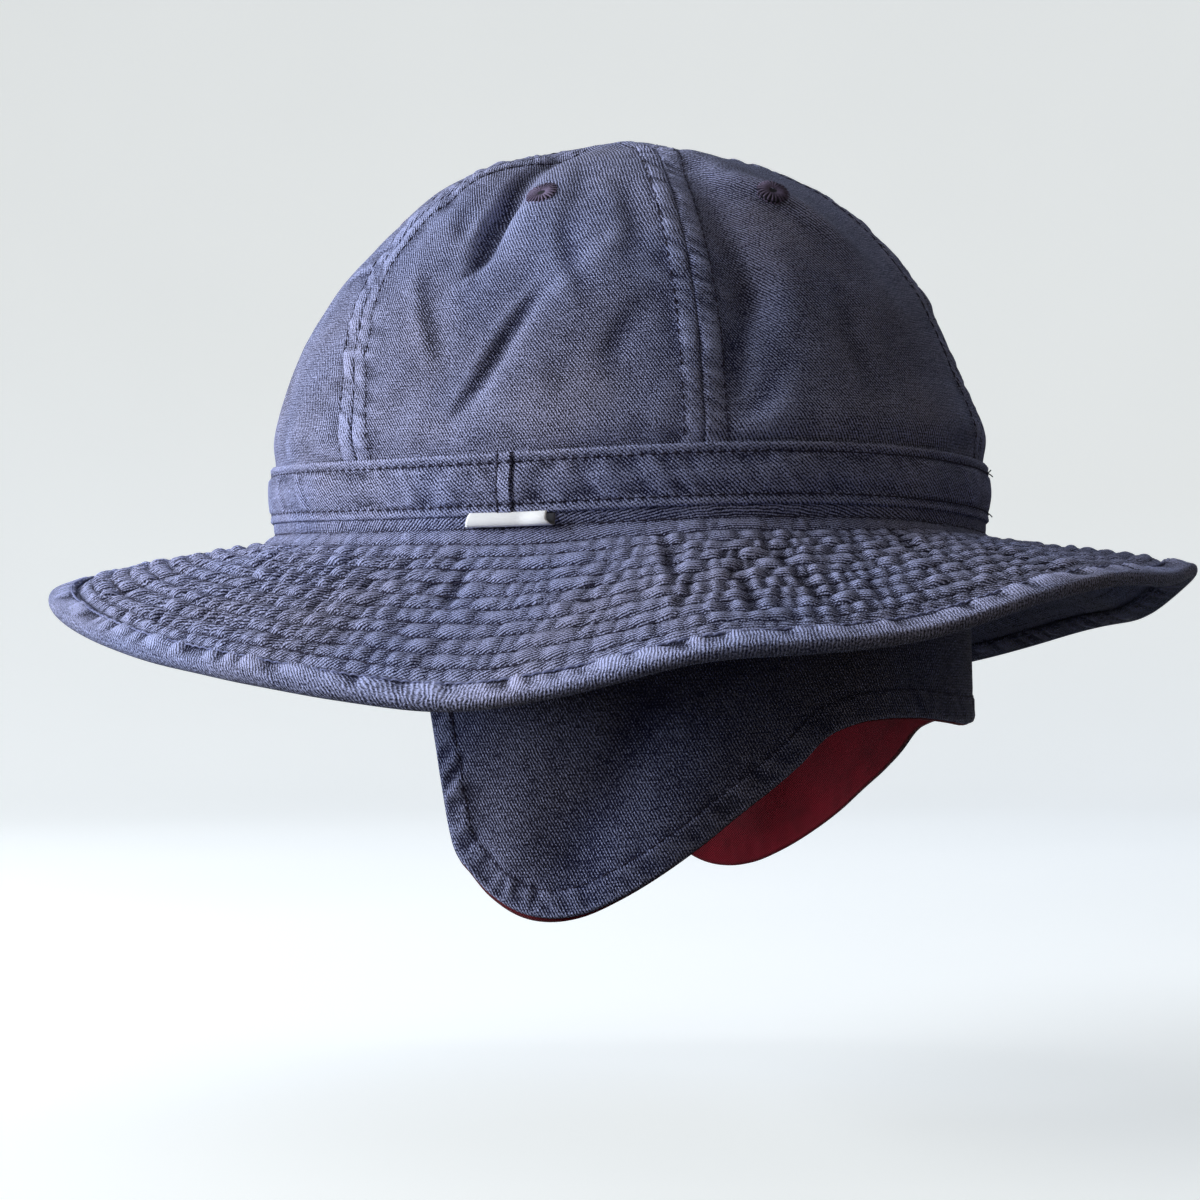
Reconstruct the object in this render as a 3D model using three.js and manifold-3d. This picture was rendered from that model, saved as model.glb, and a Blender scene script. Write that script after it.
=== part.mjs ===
// A fatigue cap: a six-panel crown, a band, a row-stitched brim with a bound edge, and a lined flap
// that hangs below the brim over the ears and the neck. Millimetres, +Z up.
// The origin is the middle of the head opening, at the seam of crown and brim. The front faces -Y and
// the wearer's left is +X. An angle round the cap runs from the front, through the wearer's left, to
// the back at 180 degrees.
import * as THREE from "three";
import Module from "manifold-3d";
import { mergeVertices } from "three/addons/utils/BufferGeometryUtils.js";

const wasm = await Module();
wasm.setup();

// ---- Driving dimensions ----
const footHalfLength = 104; // outside of the crown's foot, front to back
const footHalfWidth = 84.9; // and side to side
const clothGap = 0.3; // left between neighbouring pieces
const ringColumns = 54; // columns of each piece that runs all the way round
const columnsPerPanel = 7;
const panelCount = 6;

const twill = { crown: 1.2, flap: 1.0, binding: 1.0, label: 0.4 };
const brimWall = { foot: 1.2, middle: 2.0, edge: 1.2 };

// The foot seam is not quite level: it rises and falls three times on its way round.
const seamWave = { height: 1.2, crest: 137, times: 3 };

// The crown, measured from a centre on the axis: its reach at each rise above the horizontal.
// Above the band it swells over the band's top edge, and then draws in to a low dome.
const crownCentre = 12;
const crownProfile = [
  { rise: 0, front: 104.0, back: 104.0 },
  { rise: 1.6, front: 104.0, back: 104.0 },
  { rise: 6, front: 105.2, back: 105.4 },
  { rise: 15, front: 104.3, back: 101.6 },
  { rise: 30, front: 102.2, back: 100.4 },
  { rise: 45, front: 99.6, back: 99.6 },
  { rise: 60, front: 99.7, back: 97.8 },
  { rise: 75, front: 97.8, back: 95.4 },
  { rise: 90, front: 97.2, back: 97.2 },
];
const crownFootHeight = 1.0;
const crownRows = [0, 1.6, 6, 14, 24, 34, 44, 54, 64, 76, 89];

// How far, in degrees, the seams beside the front and beside the back stray towards the back.
const seamSway = [
  { rise: -7, frontSeams: 1, rearSeams: -2.4 },
  { rise: 5, frontSeams: 1, rearSeams: -2.4 },
  { rise: 20, frontSeams: -4, rearSeams: -1.4 },
  { rise: 40, frontSeams: -12, rearSeams: 0 },
  { rise: 55, frontSeams: -12, rearSeams: 1.5 },
  { rise: 75, frontSeams: -5, rearSeams: 5 },
  { rise: 90, frontSeams: 0, rearSeams: 5 },
];

// Dents in the crown, each along a line between two directions. A negative depth is a ridge.
const crownFolds = [
  { name: "crease, upper part", angleA: 88, riseA: 74, angleB: 73, riseB: 52, width: 9, depth: 3.2 },
  { name: "crease, lower part", angleA: 73, riseA: 52, angleB: 76, riseB: 37, width: 8, depth: 2.6 },
  { name: "side fold", angleA: 91, riseA: 33, angleB: 79, riseB: 9, width: 8, depth: 1.4 },
  { name: "rear valley", angleA: 130, riseA: 58, angleB: 129, riseB: 28, width: 9, depth: 2.4 },
  { name: "rear valley's foot", angleA: 129, riseA: 28, angleB: 123, riseB: 7, width: 8, depth: 1.6 },
  { name: "rear ridge", angleA: 137, riseA: 64, angleB: 156, riseB: 38, width: 9, depth: -1.8 },
];

const eyelet = { radius: 4.2, barrel: 1.8, hole: 0.9, thickness: 0.6, sides: 8 };
// Where each panel's eyelet is: its rise, and how far it strays from the panel's middle.
const eyeletPlaces = [
  { rise: 51, stray: 0 },
  { rise: 53.5, stray: 1.7 },
  { rise: 48.5, stray: -4.7 },
  { rise: 48.5, stray: 4.7 },
  { rise: 53.5, stray: -1.7 },
  { rise: 51, stray: 0 },
];

// The band's section: how far it stands out from the crown's foot, at each height.
const bandSection = [
  { height: -1.5, out: 1.5 },
  { height: 1.4, out: 1.4 },
  { height: 6.5, out: 2.1 },
  { height: 11.8, out: 1.4 },
  { height: 14.7, out: 1.5 },
];
// The band's ends meet on the wearer's left, where one is turned under and stands proud.
const bandJoint = { from: 86.9, to: 89.6, slope: 0.3, proud: 0.5 };

// The brim leaves the crown straight down, turns outwards and runs flat to its edge.
// It is nearly level at the front and the back, and hangs at the sides.
const brimTop = 0.7;
const brimStripFoot = -4;
const brimCorner = -8;
const brimTurn = 7; // length of slope that the turn takes up
const brimSlant = { side: 68.5, frontLess: 3.2, backLess: 9.4 };
const brimDrop = { mean: 25, sides: 16.4 };
const brimArch = 1.6;
const brimWaveSpread = 9;
const brimWaves = [
  { angle: 66, lift: 0.9 },
  { angle: 91, lift: -2.2 },
  { angle: 115, lift: 3.5 },
  { angle: 137, lift: -2.5 },
  { angle: 171, lift: -3.1 },
  { angle: 208, lift: -3.8 },
];
// Shares of the brim's section, inwards of the binding, at which it has a row of points.
const brimRows = [0.68, 0.45, 0.22, 0.12, 0.06, 0];

const bindingWidth = 8.5;

// The flap's lower edge on the wearer's left. The wearer's right is its mirror image.
const flapEdge = [
  { angle: 73.5, height: -50 },
  { angle: 75.5, height: -67 },
  { angle: 78, height: -87 },
  { angle: 81, height: -94 },
  { angle: 84.5, height: -100 },
  { angle: 89, height: -104.5 },
  { angle: 94, height: -106.2 },
  { angle: 99, height: -105.3 },
  { angle: 104, height: -102 },
  { angle: 110, height: -96.5 },
  { angle: 117, height: -88.7 },
  { angle: 123, height: -81.2 },
  { angle: 128, height: -75.3 },
  { angle: 133, height: -69 },
  { angle: 138, height: -62.2 },
  { angle: 142, height: -59.4 },
  { angle: 147, height: -57.6 },
  { angle: 158, height: -56.8 },
  { angle: 169, height: -57.3 },
  { angle: 180, height: -58 },
];
const flapTop = 12;
const flapOut = -1.9; // outside of the flap, from the crown's foot
const flapHang = { from: -8, to: -34, inset: 2 }; // where it draws in towards the head
const flapRows = 4;
const liningPeek = 0.5; // what the lining shows below the flap's edge

// The label is a folded loop under the band's lower edge: its path, and the side that it turns out.
const labelHalfAngle = 6.1;
const labelAngle = 89.4;
const labelColumns = 4;
const labelPath = [
  { out: 0.5, height: -1.9, faceOut: -1, faceUp: 0 },
  { out: 0.8, height: -4.0, faceOut: -1, faceUp: -0.5 },
  { out: 1.8, height: -5.2, faceOut: -0.2, faceUp: -1 },
  { out: 2.8, height: -4.8, faceOut: 0.9, faceUp: -0.5 },
  { out: 2.5, height: -3, faceOut: 1, faceUp: 0.2 },
  { out: 1.5, height: -1.9, faceOut: 0.9, faceUp: 0.5 },
];

const colours = {
  twill: 0x4b4b60,
  band: 0x50506a,
  brim: 0x4e4e66,
  binding: 0x5a5a72,
  flap: 0x38384a,
  lining: 0x6a0f1f,
  label: 0xe6e6ea,
  thread: 0x41323f,
};

// ---- Helpers ----
const radians = THREE.MathUtils.degToRad;
const lerp = THREE.MathUtils.lerp;
const smoothstep = THREE.MathUtils.smoothstep;

// Reads a column of a table at a place between its rows, on a smooth curve through them.
function readTable(rows, along, at, column) {
  const last = rows.length - 1;
  const found = rows.findIndex((row) => row[along] >= at);
  const right = found < 0 ? last : Math.max(found, 1);
  const slope = (i) => {
    const a = rows[Math.max(i - 1, 0)];
    const b = rows[Math.min(i + 1, last)];
    return (b[column] - a[column]) / (b[along] - a[along]);
  };
  const before = rows[right - 1];
  const after = rows[right];
  const span = after[along] - before[along];
  const t = THREE.MathUtils.clamp((at - before[along]) / span, 0, 1);
  const rise = after[column] - before[column];
  const bendBefore = slope(right - 1) * span - rise;
  const bendAfter = rise - slope(right) * span;
  return before[column] + rise * t + t * (1 - t) * (bendBefore * (1 - t) + bendAfter * t);
}

function footWave(angle) {
  return seamWave.height * Math.cos(radians(seamWave.times * (angle - seamWave.crest)));
}

// A point beside the crown's foot, at a height and at a distance out from it.
function footPoint(angle, out, height) {
  const s = Math.sin(radians(angle));
  const c = Math.cos(radians(angle));
  const outward = new THREE.Vector3(s * footHalfLength, -c * footHalfWidth, 0).setLength(out);
  const foot = new THREE.Vector3(s * footHalfWidth, -c * footHalfLength, height + footWave(angle));
  return foot.add(outward);
}

// A closed solid from columns of point pairs: the outside and the inside of a wall. Rows run so that
// the outside is on the left of the way round. A ring joins its last column to its first.
function wallGeometry(columns, isRing) {
  const rows = columns[0].length;
  const positions = columns.flatMap((column) => column.flatMap(({ outer, inner }) => [outer, inner]));
  const at = (column, row, side) => ((column % columns.length) * rows + row) * 2 + side;
  const index = [];
  const quad = (a, b, c, d) => index.push(a, b, c, a, c, d);
  const spans = isRing ? columns.length : columns.length - 1;
  for (let c = 0; c < spans; c++) {
    for (let r = 0; r < rows - 1; r++) {
      quad(at(c, r, 0), at(c + 1, r, 0), at(c + 1, r + 1, 0), at(c, r + 1, 0));
      quad(at(c, r, 1), at(c, r + 1, 1), at(c + 1, r + 1, 1), at(c + 1, r, 1));
    }
    quad(at(c, 0, 1), at(c + 1, 0, 1), at(c + 1, 0, 0), at(c, 0, 0));
    quad(at(c, rows - 1, 0), at(c + 1, rows - 1, 0), at(c + 1, rows - 1, 1), at(c, rows - 1, 1));
  }
  if (!isRing) {
    const end = columns.length - 1;
    for (let r = 0; r < rows - 1; r++) {
      quad(at(0, r, 1), at(0, r, 0), at(0, r + 1, 0), at(0, r + 1, 1));
      quad(at(end, r, 0), at(end, r, 1), at(end, r + 1, 1), at(end, r + 1, 0));
    }
  }
  return new THREE.BufferGeometry().setFromPoints(positions).setIndex(index);
}

function namedMesh(name, geometry, colour, roughness = 0.95) {
  geometry.computeVertexNormals();
  const material = new THREE.MeshStandardMaterial({ color: colour, roughness, metalness: 0 });
  const mesh = new THREE.Mesh(geometry, material);
  mesh.name = name;
  return mesh;
}

function toSolid(geometry) {
  const bare = geometry.clone();
  bare.deleteAttribute("normal");
  bare.deleteAttribute("uv");
  const merged = mergeVertices(bare);
  return new wasm.Manifold(
    new wasm.Mesh({
      numProp: 3,
      vertProperties: merged.attributes.position.array,
      triVerts: new Uint32Array(merged.index.array),
    }),
  );
}

function fromSolid(solid) {
  const { vertProperties, triVerts } = solid.getMesh();
  const position = new THREE.BufferAttribute(vertProperties, 3);
  return new THREE.BufferGeometry()
    .setAttribute("position", position)
    .setIndex(new THREE.BufferAttribute(triVerts, 1));
}

const ringAngles = Array.from({ length: ringColumns }, (_, i) => (360 * i) / ringColumns);

// ---- Crown ----
// How far a direction is pushed in by the folds.
function foldDepth(angle, rise) {
  const place = (a, r) => {
    const across = radians(a - angle) * Math.cos(radians(rise));
    return new THREE.Vector2(across, radians(r - rise)).multiplyScalar(footHalfLength);
  };
  return crownFolds.reduce((total, fold) => {
    const a = place(fold.angleA, fold.riseA);
    const line = place(fold.angleB, fold.riseB).sub(a);
    const share = THREE.MathUtils.clamp(-a.dot(line) / line.lengthSq(), 0, 1);
    const distance = a.addScaledVector(line, share).length();
    return total + fold.depth * Math.exp(-((distance / fold.width) ** 2));
  }, 0);
}

// The outside of the crown. Below the centre it is a plain upright wall, hidden by the band.
function crownPoint(angle, rise) {
  if (rise <= 0) return footPoint(angle, 0, crownCentre + radians(rise) * footHalfLength);
  const s = Math.sin(radians(angle));
  const c = Math.cos(radians(angle));
  const front = readTable(crownProfile, "rise", rise, "front");
  const back = readTable(crownProfile, "rise", rise, "back");
  const high = Math.sin(radians(rise));
  const flat = Math.cos(radians(rise));
  const narrowing = lerp(footHalfWidth / footHalfLength, 1, high ** 2);
  const dent = foldDepth(angle, rise) * smoothstep(rise, 1.6, 8);
  const endReach = lerp(back, front, (1 + c) / 2) - dent;
  const sideReach = ((front + back) / 2) * narrowing - dent;
  const height = high * (endReach * c * c + sideReach * s * s);
  const wave = footWave(angle) * Math.exp(-rise / 10);
  return new THREE.Vector3(sideReach * flat * s, -endReach * flat * c, crownCentre + height + wave);
}

function crownNormal(angle, rise) {
  const step = 0.4;
  const round = crownPoint(angle + step, rise).sub(crownPoint(angle - step, rise));
  const up = crownPoint(angle, rise + step).sub(crownPoint(angle, rise - step));
  return round.cross(up).normalize();
}

function seamAngle(seam, rise) {
  const angle = (360 / panelCount) * seam;
  const side = Math.sign(Math.round(Math.sin(radians(angle)) * 10));
  const column = Math.cos(radians(angle)) > 0 ? "frontSeams" : "rearSeams";
  return angle + side * readTable(seamSway, "rise", rise, column);
}

// A panel as a solid, whose two faces lie so far outside the cloth's outer face.
function panelSolid(panel, outside, inside) {
  const footRise = THREE.MathUtils.radToDeg((crownFootHeight - crownCentre) / footHalfLength);
  const rises = [footRise, ...crownRows];
  const columns = [];
  for (let i = 0; i <= columnsPerPanel; i++) {
    columns.push(
      rises.map((rise) => {
        const from = seamAngle(panel, rise);
        const to = seamAngle(panel + 1, rise);
        const middle = crownPoint((from + to) / 2, rise);
        const margin = THREE.MathUtils.radToDeg(clothGap / 2 / Math.hypot(middle.x, middle.y));
        const angle = lerp(from + margin, to - margin, i / columnsPerPanel);
        const place = crownPoint(angle, rise);
        const normal = crownNormal(angle, rise);
        return {
          outer: place.clone().addScaledVector(normal, outside),
          inner: place.clone().addScaledVector(normal, inside),
        };
      }),
    );
  }
  return toSolid(wallGeometry(columns, false));
}

// A panel, and the eyelet worked through it: a rim on each side of the cloth, joined in the hole.
function makePanelAndEyelet(panel) {
  const { rise, stray } = eyeletPlaces[panel];
  const angle = (seamAngle(panel, rise) + seamAngle(panel + 1, rise)) / 2 + stray;
  const place = crownPoint(angle, rise);
  const upright = new THREE.Vector3(0, 1, 0);
  const turn = new THREE.Quaternion().setFromUnitVectors(upright, crownNormal(angle, rise));
  const punch = (radius) => {
    const length = 12;
    const pin = new THREE.CylinderGeometry(radius, radius, length, eyelet.sides);
    return toSolid(pin.applyQuaternion(turn).translate(place.x, place.y, place.z));
  };
  const cloth = panelSolid(panel, 0, -twill.crown).subtract(punch(eyelet.barrel + clothGap));
  const reach = clothGap + eyelet.thickness;
  const rim = panelSolid(panel, reach, -twill.crown - reach).intersect(punch(eyelet.radius));
  const clothRoom = panelSolid(panel, clothGap, -twill.crown - clothGap).subtract(punch(eyelet.barrel));
  const thread = rim.subtract(clothRoom).subtract(punch(eyelet.hole));
  return [
    namedMesh(`crown_panel_${panel + 1}`, fromSolid(cloth), colours.twill),
    namedMesh(`eyelet_${panel + 1}`, fromSolid(thread), colours.thread),
  ];
}

// ---- Band ----
function makeBand() {
  const { from, to, slope, proud } = bandJoint;
  const jointAngles = [from - slope, from, to - slope, to];
  const angles = [...ringAngles, ...jointAngles].sort((a, b) => a - b);
  const columns = angles.map((angle) =>
    bandSection.map(({ height, out }) => {
      const raised = angle >= from && angle < to ? proud : 0;
      const outer = footPoint(angle, out + raised, height);
      return { outer, inner: footPoint(angle, clothGap, height) };
    }),
  );
  return namedMesh("hat_band", wallGeometry(columns, true), colours.band);
}

// ---- Brim ----
// The middle of the brim's thickness at one angle, as a flat curve of distance out and height. It
// ends at the outer face of the binding.
function brimSection(angle) {
  const c = Math.cos(radians(angle));
  const less = c > 0 ? brimSlant.frontLess : brimSlant.backLess;
  const slant = brimSlant.side - less * c * c;
  const lift = brimWaves.reduce(
    (sum, wave) => sum + wave.lift * Math.exp(-(((angle - wave.angle) / brimWaveSpread) ** 2)),
    0,
  );
  const drop = brimDrop.mean - brimDrop.sides * Math.cos(radians(2 * angle)) - lift;
  const start = -brimWall.foot / 2;
  const corner = new THREE.Vector2(start, brimCorner);
  const edge = new THREE.Vector2(Math.sqrt(slant ** 2 - drop ** 2), brimCorner - drop - footWave(angle));
  const slope = edge.clone().sub(corner).normalize();
  const turned = corner.clone().addScaledVector(slope, brimTurn);
  const arch = turned.clone().lerp(edge, 0.5).add(new THREE.Vector2(-slope.y, slope.x).setLength(brimArch));
  const stripFoot = new THREE.Vector2(start, brimStripFoot);
  const path = new THREE.CurvePath();
  path.add(new THREE.LineCurve(new THREE.Vector2(start, brimTop), stripFoot));
  path.add(new THREE.QuadraticBezierCurve(stripFoot, corner, turned));
  path.add(new THREE.QuadraticBezierCurve(turned, arch, edge));
  return path;
}

// A point of the brim: so far from the edge along its section, and so far above its middle.
function brimPoint(angle, section, fromEdge, above) {
  const share = THREE.MathUtils.clamp(1 - fromEdge / section.getLength(), 0, 1);
  const beyond = Math.max(-fromEdge, 0);
  const along = section.getTangentAt(share);
  const middle = section.getPointAt(share).addScaledVector(along, beyond);
  const place = middle.add(new THREE.Vector2(-along.y, along.x).multiplyScalar(above));
  return footPoint(angle, place.x, place.y);
}

function brimThickness(fromEdge, fromSeam) {
  const thinAtFoot = 1 - smoothstep(fromSeam, 4, 14);
  const thinAtEdge = 1 - smoothstep(fromEdge, bindingWidth, bindingWidth + 4);
  return brimWall.middle - (brimWall.middle - brimWall.foot) * Math.max(thinAtFoot, thinAtEdge);
}

function makeBrim() {
  const boundRows = [twill.binding + clothGap, bindingWidth + clothGap];
  const columns = ringAngles.map((angle) => {
    const section = brimSection(angle);
    const length = section.getLength();
    const openRows = brimRows.map((share) => length * (1 - share));
    return [...boundRows, ...openRows].map((fromEdge) => {
      const half = brimThickness(fromEdge, length - fromEdge) / 2;
      return {
        outer: brimPoint(angle, section, fromEdge, half),
        inner: brimPoint(angle, section, fromEdge, -half),
      };
    });
  });
  return namedMesh("brim", wallGeometry(columns, true), colours.brim);
}

// The binding wraps the brim's edge: along its underside, round the edge and back along the top.
function makeBinding() {
  const inside = brimWall.edge / 2 + clothGap;
  const outside = inside + twill.binding;
  const nose = twill.binding;
  const path = [
    { outer: [bindingWidth, -outside], inner: [bindingWidth, -inside] },
    { outer: [nose, -outside], inner: [nose, -inside] },
    { outer: [0, 0], inner: [nose, 0] },
    { outer: [nose, outside], inner: [nose, inside] },
    { outer: [bindingWidth, outside], inner: [bindingWidth, inside] },
  ];
  const columns = ringAngles.map((angle) => {
    const section = brimSection(angle);
    return path.map(({ outer, inner }) => ({
      outer: brimPoint(angle, section, ...outer),
      inner: brimPoint(angle, section, ...inner),
    }));
  });
  return namedMesh("brim_binding", wallGeometry(columns, true), colours.binding);
}

// ---- Flap ----
function flapWall(name, out, thickness, lower, colour) {
  const left = flapEdge.map(({ angle, height }) => ({ angle, height: height - lower }));
  const right = left.slice(0, -1).map(({ angle, height }) => ({ angle: 360 - angle, height }));
  const columns = [...left, ...right.reverse()].map(({ angle, height: bottom }) =>
    Array.from({ length: flapRows + 1 }, (_, row) => {
      const height = lerp(bottom, flapTop, (row / flapRows) ** 0.8);
      const inset = flapHang.inset * (1 - smoothstep(height, flapHang.to, flapHang.from));
      return {
        outer: footPoint(angle, out - inset, height),
        inner: footPoint(angle, out - inset - thickness, height),
      };
    }),
  );
  return namedMesh(name, wallGeometry(columns, false), colour);
}

function makeFlap() {
  const liningOut = flapOut - twill.flap - clothGap;
  return [
    flapWall("flap_shell", flapOut, twill.flap, 0, colours.flap),
    flapWall("flap_lining", liningOut, twill.flap, liningPeek, colours.lining),
  ];
}

// ---- Label ----
function makeLabel() {
  const half = twill.label / 2;
  const columns = Array.from({ length: labelColumns + 1 }, (_, i) => {
    const angle = labelAngle + labelHalfAngle * ((2 * i) / labelColumns - 1);
    return labelPath.map(({ out, height, faceOut, faceUp }) => {
      const reach = half / Math.hypot(faceOut, faceUp);
      return {
        outer: footPoint(angle, out + faceOut * reach, height + faceUp * reach),
        inner: footPoint(angle, out - faceOut * reach, height - faceUp * reach),
      };
    });
  });
  return namedMesh("side_label", wallGeometry(columns, false), colours.label, 0.8);
}

// ---- Assembly ----
const crown = new THREE.Group();
for (let panel = 0; panel < panelCount; panel++) crown.add(...makePanelAndEyelet(panel));

const fatigueCap = new THREE.Group();
fatigueCap.add(crown, makeBand(), makeBrim(), makeBinding(), ...makeFlap(), makeLabel());

export default fatigueCap;
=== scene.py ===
# The looks of a fatigue cap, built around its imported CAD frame. +Z is up and the front faces -Y.
# Shapes are worked out in millimetres and made in metres. An angle round the cap runs in degrees from
# the front, through the wearer's left (+X), to the back at 180.
import itertools
import math

import bpy
import numpy as np
from mathutils import Matrix, Vector


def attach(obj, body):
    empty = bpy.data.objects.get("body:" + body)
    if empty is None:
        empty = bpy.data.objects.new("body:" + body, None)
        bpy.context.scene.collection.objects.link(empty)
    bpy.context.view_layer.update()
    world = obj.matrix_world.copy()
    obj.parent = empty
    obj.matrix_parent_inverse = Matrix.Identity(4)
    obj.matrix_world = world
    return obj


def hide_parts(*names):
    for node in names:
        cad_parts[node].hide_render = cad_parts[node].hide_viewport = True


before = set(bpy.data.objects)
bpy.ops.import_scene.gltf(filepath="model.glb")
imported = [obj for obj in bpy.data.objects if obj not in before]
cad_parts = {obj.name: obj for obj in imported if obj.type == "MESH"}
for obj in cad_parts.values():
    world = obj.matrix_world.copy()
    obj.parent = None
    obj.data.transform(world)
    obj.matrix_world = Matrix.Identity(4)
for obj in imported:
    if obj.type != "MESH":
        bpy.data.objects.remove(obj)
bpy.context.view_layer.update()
metre = 1000.0  # millimetres
print("frame loaded")

# Camera, floor and lights
camera = {
    "distance": 0.7261, "turn": 109.28, "height": -0.0391, "tiltUp": 1.27, "roll": -0.4,
    "lens": 75, "sensor": 36, "shiftX": -0.0207,
}
studio = {
    "floor": -0.168, "wallRadius": 2.3, "cornerRadius": 0.9, "cornerSteps": 12, "top": 3.5,
    "turns": 96, "glow": 0.64,
    "above": (1.0, 0.98, 0.95, 1), "below": (0.22, 0.19, 0.16, 1), "worldStrength": 0.06,
}
# Each lamp: metres to the right of the view, towards the camera and up; its aim; its size, power and colour.
lamps = {
    "window": ((-1.44, 0.14, 0.42), (0, 0, 0), (1.0, 0.8), 33, (0.95, 1.0, 1.06)),
    "front": ((-0.85, 1.15, 0.25), (0, 0, 0), (0.8, 0.8), 2.4, (1.08, 1.0, 0.9)),
    "skylight": ((-0.5, 0.3, 1.7), (0, 0, 0), (1.2, 1.2), 1.9, (1.04, 1.0, 0.95)),
    "behind": ((0.35, -1.3, 1.1), (0, 0, 0.1), (0.8, 0.8), 3.4, (0.62, 0.84, 1.3)),
    "room": ((1.1, 0.9, 0.3), (0, 0, 0), (0.8, 0.8), 0.3, (1.5, 1.0, 0.35)),
    "wallLeft": ((-0.7, -0.5, 1.5), (-0.7, -2.2, 0.1), (1.4, 0.8), 7, (0.98, 1.0, 1.01)),
    "wallRight": ((0.9, -0.5, 1.5), (0.9, -2.2, 0.2), (1.4, 0.8), 3, (1.0, 0.99, 0.98)),
}


def newObject(name, data, material=None):
    if material:
        data.materials.append(material)
    made = bpy.data.objects.new(name, data)
    bpy.context.scene.collection.objects.link(made)
    return made


def newMesh(name, points, faces, edges=(), unit=metre):
    mesh = bpy.data.meshes.new(name)
    mesh.from_pydata((np.array(points) / unit).tolist(), list(edges), faces)
    return mesh


# Faces between the neighbours in a grid of point numbers.
def quads(at):
    return np.stack([at[:-1, :-1], at[1:, :-1], at[1:, 1:], at[:-1, 1:]], -1).reshape(-1, 4).tolist()


def viewPlace(right, near, up):
    turn = math.radians(camera["turn"])
    s, c = math.sin(turn), math.cos(turn)
    return Vector((right * c + near * s, right * s - near * c, up))


def makeCamera():
    data = bpy.data.cameras.new("camera")
    data.lens, data.sensor_width, data.shift_x = camera["lens"], camera["sensor"], camera["shiftX"]
    data.clip_start, data.clip_end = 0.05, 30
    place = Matrix.Translation(viewPlace(0, camera["distance"], camera["height"]))
    for degrees, axis in ((camera["turn"], "Z"), (90 + camera["tiltUp"], "X"), (camera["roll"], "Z")):
        place = place @ Matrix.Rotation(math.radians(degrees), 4, axis)
    made = newObject("camera", data)
    made.matrix_world = place
    bpy.context.scene.camera = made


def makeLamp(name, place, aim, size, power, colour):
    data = bpy.data.lights.new(name, "AREA")
    data.shape = "RECTANGLE"
    data.size, data.size_y = size
    data.energy, data.color = power, colour
    towards = (viewPlace(*aim) - viewPlace(*place)).to_track_quat("-Z", "Y")
    made = newObject(name, data)
    made.matrix_world = Matrix.Translation(viewPlace(*place)) @ towards.to_matrix().to_4x4()
    made.visible_camera = False


# A round floor that curves up into a wall, alike from every side.
def makeSweep(material):
    radius, floor = studio["cornerRadius"], studio["floor"]
    corner = studio["wallRadius"] - radius
    bends = np.radians(np.linspace(0, 90, studio["cornerSteps"] + 1))
    profile = [(out, floor) for out in (0.02, 0.4, 0.8, 1.1, corner - 0.05)]
    profile += [(corner + radius * math.sin(bend),
        floor + radius - radius * math.cos(bend)) for bend in bends]
    profile.append((studio["wallRadius"], studio["top"]))
    out, up = np.array(profile).T
    angle = 2 * math.pi * np.arange(studio["turns"])[:, None] / studio["turns"]
    points = np.stack(np.broadcast_arrays(out * np.cos(angle), out * np.sin(angle), up), -1).reshape(-1, 3)
    at = np.arange(len(points)).reshape(studio["turns"], -1)
    faces = quads(np.append(at, at[:1], 0).T) + [at[:, 0].tolist()]
    mesh = newMesh("floorSweep", points, faces, unit=1)
    mesh.shade_smooth()
    made = newObject("floorSweep", mesh, material)
    made.visible_diffuse = False  # no light bounces from the floor and wall onto the cloth


# Soft light from above, and little from below.
def makeWorld():
    world = bpy.data.worlds.new("studio")
    world.use_nodes = True
    tree = world.node_tree
    way = addNode(tree, "ShaderNodeTexCoord").outputs["Generated"]
    up = addNode(tree, "ShaderNodeSeparateXYZ", {0: way}).outputs["Z"]
    share = addNode(tree, "ShaderNodeMapRange", {"Value": up, "From Min": -0.25, "From Max": 0.35}).outputs[0]
    background = tree.nodes["Background"]
    tree.links.new(mixColour(tree, share, studio["below"], studio["above"]), background.inputs["Color"])
    background.inputs["Strength"].default_value = studio["worldStrength"]
    bpy.context.scene.world = world


# Materials
def tone(red, green, blue):
    return tuple(((c / 255 + 0.055) / 1.055) ** 2.4 if c > 10 else c / 255 / 12.92
        for c in (red, green, blue)) + (1,)


def addNode(tree, kind, inputs=None, **settings):
    node = tree.nodes.new(kind)
    for key, value in settings.items():
        setattr(node, key, value)
    for key, value in (inputs or {}).items():
        if isinstance(value, bpy.types.NodeSocket):
            tree.links.new(value, node.inputs[key])
        else:
            node.inputs[key].default_value = value
    return node


def calc(tree, operation, a, b=0.0, c=0.0, clamp=False):
    return addNode(tree, "ShaderNodeMath", {0: a, 1: b, 2: c}, operation=operation,
        use_clamp=clamp).outputs[0]


def dotWith(tree, vector, direction):
    return addNode(tree, "ShaderNodeVectorMath", {0: vector, 1: direction},
        operation="DOT_PRODUCT").outputs["Value"]


def noise(tree, vector, scale, detail=2.0, middle=0.0):
    inputs = {"Vector": vector, "Scale": scale, "Detail": detail}
    value = addNode(tree, "ShaderNodeTexNoise", inputs).outputs["Fac"]
    return calc(tree, "SUBTRACT", value, middle) if middle else value


def mixColour(tree, factor, a, b):
    return addNode(tree, "ShaderNodeMix", {0: factor, 6: a, 7: b}, data_type="RGBA").outputs[2]


def newMaterial(name):
    material = bpy.data.materials.new(name)
    material.use_nodes = True
    tree = material.node_tree
    tree.nodes.clear()
    return material, tree, addNode(tree, "ShaderNodeTexCoord").outputs["Object"]


# The UV map "cloth" is in millimetres, and the wear attribute says how rubbed each point is, and how much
# painted shade lies in its hollows.
def clothInputs(tree):
    uv = addNode(tree, "ShaderNodeUVMap", uv_map="cloth").outputs["UV"]
    return uv, addNode(tree, "ShaderNodeAttribute", attribute_name="wear").outputs["Fac"]


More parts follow.
